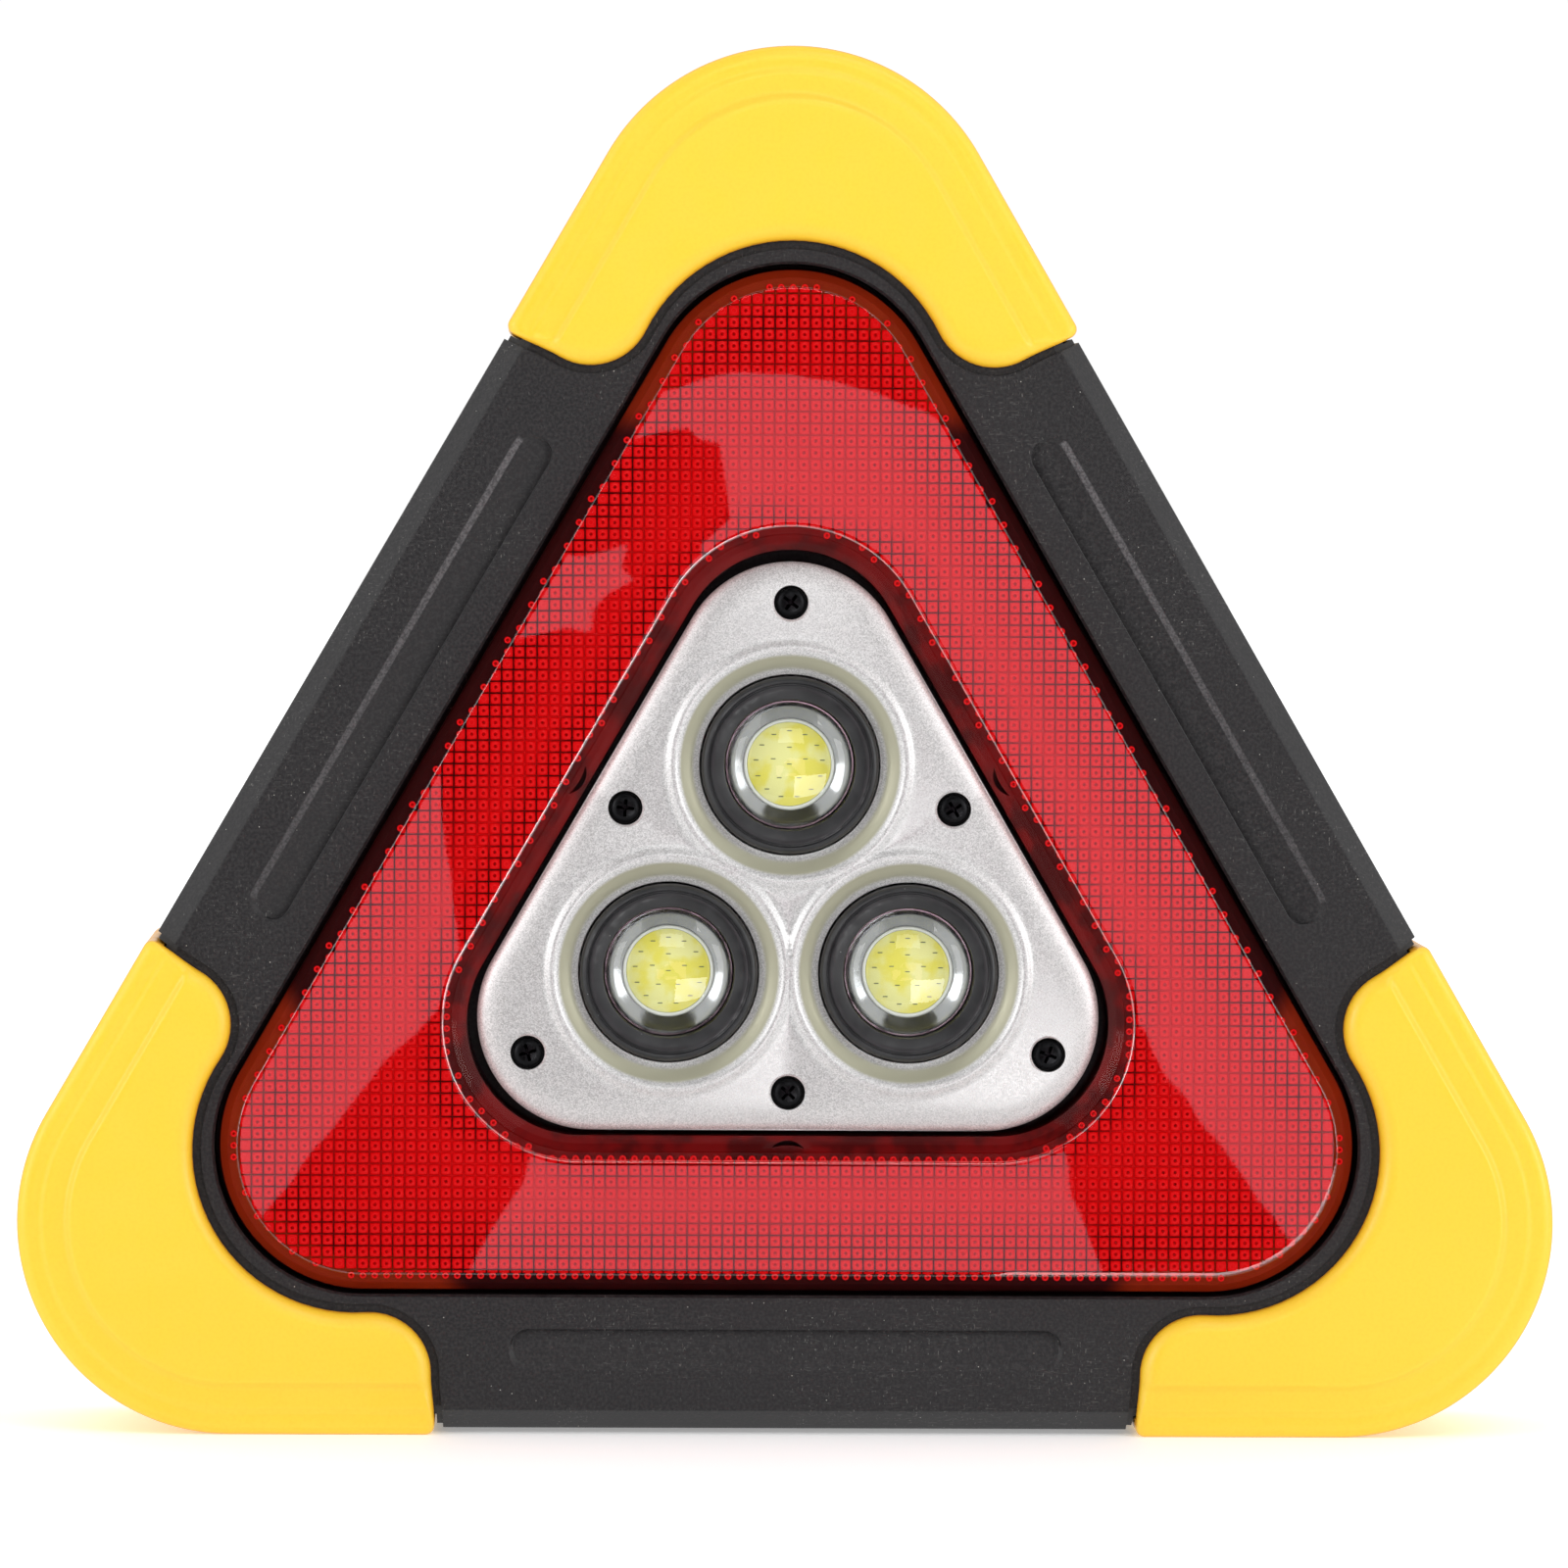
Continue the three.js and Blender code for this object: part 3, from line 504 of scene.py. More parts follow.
def srgb(red, green, blue):
    """A linear colour from the usual 0 to 255 values."""
    def linear(value):
        value /= 255
        return value / 12.92 if value <= 0.04045 else ((value + 0.055) / 1.055) ** 2.4
    return linear(red), linear(green), linear(blue), 1.0


class Surface:
    """A procedural material round a Principled shader. Sizes of grain are in millimetres."""

    def __init__(self, name, **sockets):
        self.material = bpy.data.materials.new(name)
        self.material.use_nodes = True
        self.tree = self.material.node_tree
        self.shader = self.tree.nodes["Principled BSDF"]
        for socket, value in sockets.items():
            self.shader.inputs[socket.replace("_", " ")].default_value = value
        self.place = self.add("ShaderNodeTexCoord").outputs["Object"]

    def add(self, kind, inputs=None, **settings):
        """Adds a node. An input is given another node's output, or a value."""
        item = self.tree.nodes.new(kind)
        for name, value in settings.items():
            setattr(item, name, value)
        for socket, value in (inputs or {}).items():
            if isinstance(value, bpy.types.NodeSocket):
                self.tree.links.new(value, item.inputs[socket])
            else:
                item.inputs[socket].default_value = value
        return item

    def put(self, socket, output):
        self.tree.links.new(output, self.shader.inputs[socket])
        return self

    def noise(self, size, detail=3.0, stretch=(1, 1, 1)):
        place = self.add("ShaderNodeVectorMath", {0: self.place, 1: stretch}, operation="MULTIPLY")
        inputs = {"Vector": place.outputs[0], "Scale": 1 / (size * MM), "Detail": detail}
        return self.add("ShaderNodeTexNoise", inputs).outputs["Fac"]

    def flakes(self, size):
        """A random value for each small cell of about the given size."""
        inputs = {"Vector": self.place, "Scale": 1 / (size * MM)}
        cells = self.add("ShaderNodeTexVoronoi", inputs)
        return self.add("ShaderNodeSeparateColor", {0: cells.outputs["Color"]}).outputs[0]

    def specks(self, spacing, radius):
        """1 in small spots of a random pattern, 0 between them."""
        inputs = {"Vector": self.place, "Scale": 1 / (spacing * MM)}
        distance = self.add("ShaderNodeTexVoronoi", inputs).outputs["Distance"]
        return self.span(distance, radius / spacing, 0.5 * radius / spacing, 0, 1)

    def attribute(self, name):
        return self.add("ShaderNodeAttribute", attribute_name=name).outputs["Fac"]

    def span(self, value, from_low, from_high, to_low, to_high):
        inputs = {0: value, 1: from_low, 2: from_high, 3: to_low, 4: to_high}
        return self.add("ShaderNodeMapRange", inputs, interpolation_type="SMOOTHSTEP").outputs[0]

    def maths(self, operation, a, b):
        return self.add("ShaderNodeMath", {0: a, 1: b}, operation=operation).outputs[0]

    def times(self, a, b):
        return self.maths("MULTIPLY", a, b)

    def mix(self, factor, low, high):
        """A colour between two colours."""
        return self.add("ShaderNodeMix", {0: factor, 6: low, 7: high}, data_type="RGBA").outputs[2]

    def rough(self, grain, low, high):
        """Roughness that follows a grain."""
        return self.put("Roughness", self.span(grain, 0.3, 0.7, low, high))

    def bump(self, fine, relief):
        """Relief of a height in millimetres from a value of 0 to 1."""
        inputs = {"Height": fine, "Distance": relief * MM, "Strength": 1.0}
        self.put("Normal", self.add("ShaderNodeBump", inputs).outputs["Normal"])
        return self

    def near_corners(self, start, stop):
        """0 up to start millimetres from the middle towards a corner, 1 from stop."""
        inputs = {0: self.place, 1: (0, 0, CENTRE_HEIGHT * MM)}
        centred = self.add("ShaderNodeVectorMath", inputs, operation="SUBTRACT").outputs[0]
        reach = 0.0
        for corner in CORNERS.values():
            across, up = polar(corner)
            inputs = {0: centred, 1: (across, 0, up)}
            along = self.add("ShaderNodeVectorMath", inputs, operation="DOT_PRODUCT").outputs["Value"]
            reach = self.maths("MAXIMUM", reach, along)
        return self.span(reach, start * MM, stop * MM, 0, 1)


def yellow_plastic():
    """Glossy yellow plastic with faint moulding tone, the finest orange peel, and a painted deeper orange
    where the surface turns away from view, standing in for shade and yellow bounce light along its rounded
    edges.
    """
    surface = Surface("yellow_plastic", Roughness=0.34, IOR=1.5)
    colour = surface.mix(surface.noise(30), srgb(251, 205, 48), srgb(253, 212, 60))
    # Painted shade: a deeper orange where the surface turns away from view stands in for the shade and yellow
    # bounce light along rounded edges.
    facing = surface.add("ShaderNodeLayerWeight", {"Blend": 0.5}).outputs["Facing"]
    colour = surface.mix(surface.span(facing, 0.25, 0.9, 0, 1), colour, srgb(228, 158, 14))
    colour = surface.mix(surface.span(surface.noise(0.5), 0.4, 0.7, 0, 0.25), colour, srgb(247, 196, 40))
    surface.put("Base Color", colour)
    surface.rough(surface.noise(4), 0.3, 0.4)
    return surface.bump(surface.noise(0.6), 0.003).material


def black_plastic():
    """Dark moulded plastic with a fine sparked grain, faint rubs, short scuffs, specks of dust, and a grainy
    painted highlight on the slots' outer slopes.
    """
    surface = Surface("black_plastic", Roughness=0.5, IOR=1.45)
    mottle = surface.noise(0.4, 5)
    colour = surface.mix(surface.span(mottle, 0.35, 0.7, 0, 1), srgb(27, 26, 28), srgb(47, 45, 46))
    patches = surface.span(surface.noise(14, 2), 0.42, 0.62, 0.15, 1)
    rubs = surface.span(surface.noise(1.1, 5, (1, 1, 5)), 0.56, 0.8, 0, 0.5)
    colour = surface.mix(surface.times(rubs, patches), colour, srgb(96, 94, 92))
    scuffs = surface.span(surface.noise(0.55, 6, (2.2, 1, 1)), 0.62, 0.74, 0, 0.7)
    colour = surface.mix(surface.times(scuffs, patches), colour, srgb(112, 110, 107))
    # Painted highlight: a lighter grainy grey on the upper slots' outer slopes stands in for the light they
    # catch.
    highlight_grain = surface.span(surface.noise(0.3, 2), 0.35, 0.65, 0.35, 1)
    colour = surface.mix(surface.times(surface.attribute("slope_painted_highlight"), highlight_grain), colour, srgb(112, 109, 111))
    dust = surface.times(surface.specks(1.5, 0.085), surface.span(surface.noise(5), 0.45, 0.6, 0.1, 1))
    colour = surface.mix(dust, colour, srgb(190, 188, 180))
    surface.put("Base Color", colour)
    surface.rough(mottle, 0.42, 0.58)
    return surface.bump(surface.noise(0.25, 2), 0.012).material


def black_rubber():
    """Matt rubber with a soft bloom."""
    surface = Surface("black_rubber", Roughness=0.75, IOR=1.45)
    colour = surface.mix(surface.span(surface.noise(6), 0.4, 0.7, 0, 1), srgb(26, 26, 27), srgb(40, 40, 41))
    colour = surface.mix(surface.specks(2.4, 0.08), colour, srgb(120, 118, 114))
    surface.put("Base Color", colour)
    surface.rough(surface.noise(2), 0.66, 0.84)
    return surface.bump(surface.noise(0.4, 3), 0.02).material


def clear_skin(name, tint, gloss_roughness):
    """Clear moulding: it lets the light through, tinted, and its front mirrors by Fresnel, as much
    as the attribute "gloss" says."""
    surface = Surface(name)
    tree = surface.tree
    tree.nodes.remove(surface.shader)
    ripple = surface.add("ShaderNodeBump", {"Height": surface.noise(9, 1), "Distance": 0.004 * MM})
    through = surface.add("ShaderNodeBsdfTransparent", {"Color": tint})
    inputs = {"Roughness": gloss_roughness, "Normal": ripple.outputs["Normal"]}
    gloss = surface.add("ShaderNodeBsdfGlossy", inputs)
    fresnel = surface.add("ShaderNodeFresnel", {"IOR": ACRYLIC_IOR}).outputs[0]
    inside_face = surface.add("ShaderNodeNewGeometry").outputs["Backfacing"]
    outside_face = surface.maths("SUBTRACT", 1.0, inside_face)
    share = surface.times(surface.times(fresnel, outside_face), surface.attribute("gloss"))
    both = surface.add("ShaderNodeMixShader", {0: share, 1: through.outputs[0], 2: gloss.outputs[0]})
    tree.links.new(both.outputs[0], tree.nodes["Material Output"].inputs["Surface"])
    return surface.material


def red_core():
    """What shows through the red skin: dark where the housing is behind it; on the floor between the prisms,
    painted light that is red in the middle of each leg and fades to painted shade towards the borders; and a
    painted orange glow in the corners for the yellow guards' light that comes through."""
    surface = Surface("red_core", Roughness=0.45, IOR=1.3)
    outer = surface.mix(surface.noise(14), srgb(32, 5, 6), srgb(50, 9, 10))
    blotch = surface.span(surface.noise(5), 0.4, 0.6, 0, 1)
    inner = surface.mix(blotch, srgb(72, 9, 10), srgb(112, 15, 16))
    skirt = surface.attribute("skirt")
    corners = surface.times(surface.near_corners(60.5, 64.5), skirt)
    # Painted light: the orange glow in the corners stands in for the yellow guards' light coming through the
    # skirt.
    orange = surface.mix(surface.noise(10), srgb(118, 52, 16), srgb(140, 64, 20))
    dark = surface.mix(skirt, inner, surface.mix(corners, outer, orange))
    # Painted light and shade on the floor between the prisms: bright red in the middle of each leg, dark
    # towards the borders.
    painted_field_light = surface.attribute("field")
    surface.put("Base Color", surface.mix(painted_field_light, dark, srgb(226, 26, 32)))
    return surface.material


def red_prism():
    """Deep red acrylic of the prisms, with a painted highlight on their rims and painted shade in their pits.
    """
    surface = Surface("red_prism", Roughness=0.25, IOR=1.35)
    # Painted highlight and shade: the tone runs from a dark pit and base up to a bright rim top.
    tone = surface.attribute("tone")
    colour = surface.mix(surface.span(tone, 0, 0.5, 0, 1), srgb(110, 4, 8), srgb(228, 26, 32))
    colour = surface.mix(surface.span(tone, 0.5, 1, 0, 1), colour, srgb(242, 50, 58))
    surface.put("Base Color", surface.mix(surface.noise(12), colour, srgb(224, 22, 28)))
    return surface.material


def silver_paint():
    """Metallic paint: coarse flakes in a soft clear film."""
    surface = Surface("silver_paint", Metallic=0.45, Roughness=0.38, IOR=1.5)
    flake = surface.flakes(0.13)
    colour = surface.mix(flake, srgb(188, 187, 187), srgb(236, 235, 235))
    band = surface.attribute("band")
    surface.put("Base Color", surface.mix(band, colour, srgb(196, 194, 170)))
    surface.put("Roughness", surface.span(flake, 0, 1, 0.28, 0.44))
    return surface.bump(surface.noise(0.16, 2), 0.012).material


def ring_plastic():
    """Satin black of the lamp rings."""
    surface = Surface("ring_plastic", Roughness=0.35, IOR=1.5)
    shade = surface.span(surface.noise(3), 0.3, 0.7, 0, 1)
    colour = surface.mix(shade, srgb(34, 34, 36), srgb(46, 46, 48))
    colour = surface.mix(surface.specks(1.7, 0.06), colour, srgb(190, 190, 190))
    surface.put("Base Color", colour)
    surface.rough(surface.noise(1.2), 0.3, 0.42)
    return surface.bump(surface.noise(0.4, 2), 0.003).material


def mirror_cone():
    """Plated reflector round each chip."""
    surface = Surface("mirror_cone", Metallic=1.0, Roughness=0.16)
    surface.put("Base Color", surface.mix(surface.noise(2), srgb(160, 160, 162), srgb(176, 176, 178)))
    surface.rough(surface.noise(1.5), 0.1, 0.2)
    return surface.material


def phosphor():
    """Silicone phosphor of a chip, a little uneven in thickness."""
    surface = Surface("phosphor", Roughness=0.35, IOR=1.42)
    thickness = surface.span(surface.noise(4), 0.4, 0.6, 0, 1)
    surface.put("Base Color", surface.mix(thickness, srgb(252, 240, 104), srgb(255, 250, 168)))
    surface.rough(surface.noise(1), 0.3, 0.45)
    return surface.bump(surface.noise(0.8), 0.01).material


def bond_marks():
    """Chips and bond wires, seen as grey dashes through the phosphor."""
    surface = Surface("bond_marks", Roughness=0.5)
    surface.put("Base Color", surface.mix(surface.noise(0.3), srgb(118, 118, 84), srgb(150, 150, 104)))
    return surface.material


def white_edge():
    """White dam round the phosphor."""
    surface = Surface("white_edge", Roughness=0.4)
    surface.put("Base Color", surface.mix(surface.noise(1), srgb(236, 236, 226), srgb(246, 246, 238)))
    return surface.bump(surface.noise(0.6), 0.01).material


def metal(name, low, high, roughness):
    """Plated or blackened steel with fine turning marks."""
    surface = Surface(name, Metallic=1.0, Roughness=roughness)
    streaks = surface.noise(0.7, 4, (1, 1, 8))
    surface.put("Base Color", surface.mix(streaks, low, high))
    surface.rough(streaks, roughness - 0.08, roughness + 0.1)
    return surface.bump(streaks, 0.004).material


def coated(name, low, high, roughness, grain):
    """A painted, printed or sleeved surface, a little uneven."""
    surface = Surface(name, Roughness=roughness)
    uneven = surface.noise(grain, 3)
    surface.put("Base Color", surface.mix(uneven, low, high))
    surface.rough(uneven, roughness - 0.06, roughness + 0.08)
    return surface.bump(surface.noise(grain / 4), 0.006).material


YELLOW = yellow_plastic()
BLACK = black_plastic()
RUBBER = black_rubber()
RED_SKIN = clear_skin("red_skin", (0.94, 0.72, 0.72, 1), 0.012)
RED_CORE = red_core()
RED_PRISM = red_prism()
SILVER = silver_paint()
RING = ring_plastic()
MIRROR = mirror_cone()
DOME = clear_skin("dome_skin", (0.98, 0.99, 0.99, 1), 0.02)
PHOSPHOR = phosphor()
MARKS = bond_marks()
DAM = white_edge()
BLACK_STEEL = metal("black_steel", srgb(22, 22, 23), srgb(44, 44, 46), 0.34)
STEEL = metal("plated_steel", srgb(176, 178, 181), srgb(206, 207, 208), 0.26)
BOARD = coated("white_board", srgb(226, 226, 218), srgb(240, 240, 234), 0.45, 2)
CIRCUIT = coated("green_board", srgb(22, 74, 42), srgb(34, 98, 56), 0.4, 1.5)
SLEEVE = coated("battery_sleeve", srgb(36, 92, 152), srgb(46, 108, 172), 0.3, 6)
RED_WIRE = coated("red_wire", srgb(160, 20, 22), srgb(184, 30, 30), 0.45, 1)
BLACK_WIRE = coated("black_wire", srgb(20, 20, 20), srgb(34, 34, 34), 0.45, 1)
CONTACT = coated("socket_insert", srgb(24, 24, 26), srgb(38, 38, 40), 0.5, 1)


# ------------------------------------------------------------------ corner guards

GUARD_STEPS = ((0.6, 6.0, 7.1), (0.25, 2.6, 3.7))  # drop, and how far its foot and top are inside


def guard_step(points):
    """How far the face of a guard lies below its raised middle."""
    from_edge = edge_distance(points, GUARD_INRADIUS, HOUSING_INSET)
    return sum(drop * (1 - ease(from_edge, foot, top)) for drop, foot, top in GUARD_STEPS)


def guard_rings():
    """Sections of the top guard from the rim of its face, round its edges, to its back."""
    face_round = {"outer": 2.5, "inner": 2.5, "end": 1.1}
    face_drop = 1.9
    back_round = 2.0
    rings = []
    steps = 8
    for k in range(steps + 1):
        angle = math.pi / 2 * k / steps
        grow = {edge: -width * (1 - math.sin(angle)) for edge, width in face_round.items()}
        outline = guard_outline(**grow)
        step = guard_step(outline) * (1 - k / steps)
        rings.append(at_depth(outline, GUARD_FRONT + step + face_drop * (1 - math.cos(angle))))
    for k in range(steps + 1):
        angle = math.pi / 2 * k / steps
        grow = -back_round * (1 - math.cos(angle))
        outline = guard_outline(grow, grow, grow / 2)
        rings.append(at_depth(outline, GUARD_BACK - back_round * (1 - math.sin(angle))))
    return rings


def guard_face_points():
    """Points over the top guard's face, close together along the step in it."""
    from_edge = (2.75, 3.0, 3.2, 3.4, 3.6, 3.9, 4.8, 5.7, 6.1, 6.3, 6.45, 6.6, 6.75, 6.9, 7.1, 7.8)
    lines = [triangle(GUARD_INRADIUS - distance, HOUSING_INSET, 96) for distance in from_edge]
    along_sides = [
        from_side(GUARD_INRADIUS - distance, along) * (way, 1)
        for distance in from_edge
        for along in np.arange(44, 72, 0.6)
        for way in (-1, 1)
    ]
    plateau = grid(110, 2.6)
    plateau = plateau[edge_distance(plateau, GUARD_INRADIUS, HOUSING_INSET) > 8.6]
    return np.concatenate([*lines, along_sides, plateau])


def corner_guard(name, corner, recess):
    """One yellow guard, open inside for the core. recess holds the cutters of its screw hole."""
    rings = guard_rings()
    rim = rings[0][:, (0, 2)]
    cap = relief_cap(rim, guard_face_points(), lambda p: GUARD_FRONT + guard_step(p), 0.35)
    points, faces = merge_parts(skin(rings, caps=(False, True)), cap)
    points[:, (0, 2)] = turned(points[:, (0, 2)], corner - CORNERS["top"])
    guard = new_object(f"guard_{name}", points, faces, 40)
    pocket = CORE_INRADIUS + GAP
    inner = taper("pocket", [(CORE_FRONT - GAP, pocket), (CORE_BACK + GAP, pocket)])
    guard = flatten_shading(cut(guard, inner, *recess))
    finish_piece(guard, "housing", "yellow_plastic", YELLOW, f"corner_guard_{name}")


def corner_guards():
    """The three guards, each with a sunk hole for its rear screw."""
    floor_depth, mouth = GUARD_BACK - 1.1, GUARD_BACK - 0.2
    sink = [(0, floor_depth), (SINK_RADIUS, floor_depth), (SINK_RADIUS, mouth)]
    sink += [(SINK_RADIUS + 0.3, FAR), (0, FAR)]
    for (name, corner), place in zip(CORNERS.items(), REAR_SCREWS):
        corner_guard(name, corner, [lathe("sink", sink, place), post(place, SHANK_HOLE, 0, FAR)])


# ------------------------------------------------------------------ housing shells

def guard_zones(grow):
    """The three corners that the guards cover, grown all round, as solids."""
    outline = guard_outline(grow, grow, grow)
    turns = [corner - CORNERS["top"] for corner in CORNERS.values()]
    return [extrude("zone", turned(outline, turn), -FAR, FAR) for turn in turns]


CHANNEL_DEPTH = 0.5  # of the channel that runs round each guard
CHANNEL_REACH = 1.1  # from the edge of a guard to the far side of its channel


def cut_to_core(shell, core, grow):
    """Cuts the guards' zones out of a shell, all but a core, and removes that core."""
    for zone in guard_zones(grow):
        shell = cut(shell, cut(zone, copy_of(core)))
    bpy.data.objects.remove(core)
    return shell


def recess_corners(shell, skin_layers):
    """Cuts the corners back to the core that the guards wrap, with a shallow channel round them.
    skin_layers is the shell's own taper, and the channel follows it a little way in."""
    core = taper("core", [(CORE_FRONT, CORE_INRADIUS), (CORE_BACK, CORE_INRADIUS)])
    shell = cut_to_core(shell, core, GAP)
    first, last = skin_layers[0][0], skin_layers[-1][0]
    shift = CHANNEL_DEPTH if abs(first) > abs(last) else -CHANNEL_DEPTH
    neck = taper("neck", [(y + shift, r - CHANNEL_DEPTH) for y, r in skin_layers])
    return cut_to_core(shell, neck, CHANNEL_REACH)


def hollow(shell, side, core):
    """Hollows a shell one wall in. side and core are the depths between which its sides and its
    core are hollow."""
    side_space = taper("side", [(depth, HOUSING_INRADIUS - WALL) for depth in side])
    side_space = cut(side_space, *guard_zones(WALL + GAP + 0.6))
    core_space = taper("space", [(depth, CORE_INRADIUS - WALL) for depth in core])
    return cut(shell, side_space, core_space)


SLOT_ACROSS = 58.35  # from the middle of the triangle to the middle of a slot
SLOT_WIDTH = 5.3
SLOT_LENGTH = 72.0
SLOT_CORNER = 2.4
SLOT_SECTIONS = ((0.2, -0.3), (0.2, -0.01), (0.0, 0.06), (-0.36, 0.5), (-0.5, 0.56))  # growth and depth


def slot_tools(face, inward, sides, length=SLOT_LENGTH, along=0.0):
    """Cutters for shallow slots along some sides of the housing: steep towards the middle, with a
    gentle slope on the outer side. inward is the way into the material, and along moves a slot
    from the middle of its side."""
    lean = 0.7  # how far a ring moves towards the middle for its depth
    fall = 0.16  # how much deeper a slot gets for each millimetre towards the middle
    tools = []
    for side in sides:
        rings = []
        for grow, depth in SLOT_SECTIONS:
            size = (length + 2 * grow, SLOT_WIDTH + 2 * grow)
            place = (along if side < 90 else -along, SLOT_ACROSS - lean * max(depth, 0))
            outline = rounded_box(*size, SLOT_CORNER + grow, place, 10)
            deeper = fall * (SLOT_ACROSS - outline[:, 1]) if depth > 0.1 else 0
            rings.append(at_depth(turned(outline, side - 90), face + inward * (depth + deeper)))
        tools.append(loft("slot", rings))
    return tools


def outer_slopes(places, depths):
    """Above 0 on the gentle outer slopes of the two upper slots, where a grainy painted highlight stands in
    for the light these slopes catch, stronger towards the top."""
    slopes = np.zeros(len(places))
    # The painted highlight is stronger towards the top, as if lit from above.
    strength = 0.1 + 0.6 * ease(places[:, 1], -25, 40)
    in_slot = (depths > LAND + 0.03) & (depths < LAND + 0.45)
    for side in SIDES[:2]:
        across = places @ polar(side) - SLOT_ACROSS
        along = np.abs(places @ polar(side + 90))
        on_slope = (across > 1.8) & (across < SLOT_WIDTH / 2 + 0.03) & (along < SLOT_LENGTH / 2 - 1.5)
        slopes = np.where(in_slot & on_slope, strength, slopes)
    return slopes


BOSS_RADIUS = 3.2


def front_shell():
    """The front shell: side slots, a well for the lens with its tray, and bosses for the screws."""
    layers = [
        (LAND, LAND_EDGE - 0.25),
        (LAND + 0.06, LAND_EDGE),
        (LAND + 2.8, HOUSING_INRADIUS - 0.12),
        (LAND + 3.2, HOUSING_INRADIUS),
        (PARTING - 0.2, HOUSING_INRADIUS),
        (PARTING, HOUSING_INRADIUS - 0.2),
    ]
    shell = recess_corners(taper("front_shell", layers), layers)
    shelf = CORE_FRONT + WALL
    shell = hollow(shell, (shelf, FAR), (shelf, FAR))
    tray_layers = [(shelf - 1, OPENING + WALL), (OPENING_FLOOR + 1.6, OPENING + WALL)]
    shell = join(shell, taper("tray", tray_layers, OPENING_INSET))
    well_layers = [(-FAR, OPENING + 0.35), (LAND - 0.01, OPENING + 0.35)]
    well_layers += [(LAND + 0.3, OPENING), (OPENING_FLOOR, OPENING)]
    shell = cut(shell, taper("well", well_layers, OPENING_INSET), *slot_tools(LAND, 1, SIDES))
    board_back = back("led_board") + GAP
    bosses = [post(place, BOSS_RADIUS, board_back, OPENING_FLOOR + 1) for place in PLATE_SCREWS]
    bosses += [post(place, BOSS_RADIUS, shelf - 1, PARTING) for place in REAR_SCREWS]
    shell = join(shell, *bosses)
    pilots = [post(place, 1.3, board_back - 1, OPENING_FLOOR + 3, 16) for place in PLATE_SCREWS]
    pilots += [post(place, SHANK_HOLE, shelf + 1, FAR, 16) for place in REAR_SCREWS]
    shell = flatten_shading(cut(shell, *pilots))
    # Painted highlight on the upper slots' outer slopes.
    set_attribute(shell, "slope_painted_highlight", outer_slopes(*flat_points(shell)))
    finish_piece(shell, "housing", "black_plastic", BLACK, "front_frame")


def rear_shell():
    """The rear shell: screw posts, the battery compartment, ears for the stand, and its openings."""
    inner = COVER_BACK - WALL
    layers = [
        (COVER_FRONT, HOUSING_INRADIUS - 0.2),
        (COVER_FRONT + 0.2, HOUSING_INRADIUS),
        (COVER_BACK - 2.8, HOUSING_INRADIUS),
        (COVER_BACK - 2.4, HOUSING_INRADIUS - 0.12),
        (COVER_BACK - 0.06, LAND_EDGE),
        (COVER_BACK, LAND_EDGE - 0.25),
    ]
    shell = recess_corners(taper("rear_shell", layers), layers)
    shell = hollow(shell, (-FAR, inner), (-FAR, CORE_BACK - WALL))
    corner_posts = [post(p, 4.5, COVER_FRONT, CORE_BACK - WALL + 1) for p in REAR_SCREWS[:3]]
    side_posts = [post(p, 4.5, COVER_FRONT, inner + 1) for p in REAR_SCREWS[3:]]
    shell = join(shell, *corner_posts, *side_posts, *board_posts(inner), pocket_walls(inner), *lugs())
    holes = [post(place, SHANK_HOLE, -FAR, FAR, 16) for place in REAR_SCREWS]
    floor_depth, mouth = COVER_BACK - 1.7, SINK_RADIUS + 0.35
    sink = [(0, floor_depth), (SINK_RADIUS, floor_depth), (SINK_RADIUS, COVER_BACK - 0.3)]
    sink += [(mouth, COVER_BACK + 0.05), (mouth, FAR), (0, FAR)]
    sinks = [lathe("sink", sink, place, 40) for place in REAR_SCREWS[3:]]
    shell = cut(shell, *holes, *sinks, *pocket_space(inner), *button_hole(), *port_recess())
    shell = flatten_shading(cut(shell, *back_slots()))
    finish_piece(shell, "housing", "black_plastic", BLACK, "rear_cover")


def board_posts(inner):
    """Posts under the corners of the driver board."""
    (x0, _, z0), (x1, board_back, z1) = box_mm("driver_board")
    corners = [(x0 + 3, z0 + 3), (x1 - 3, z0 + 3), (x0 + 3, z1 - 3), (x1 - 3, z1 - 3)]
    return [post((x, z - CENTRE_HEIGHT), 2, board_back + GAP, inner + 1) for x, z in corners]


POCKET_LENGTH = 72.6  # the battery compartment
POCKET_HEIGHT = 20.8
POCKET_FLOOR = -6.6
BATTERY_HEIGHT = height("battery_door")


def pocket_walls(inner):
    """A block round the battery compartment."""
    wall = 1.4
    half, rise = POCKET_LENGTH / 2 + wall, POCKET_HEIGHT / 2 + wall
    depth = (POCKET_FLOOR - wall, inner + 0.5)
    return block("pocket", (-half, half), depth, (BATTERY_HEIGHT - rise, BATTERY_HEIGHT + rise))


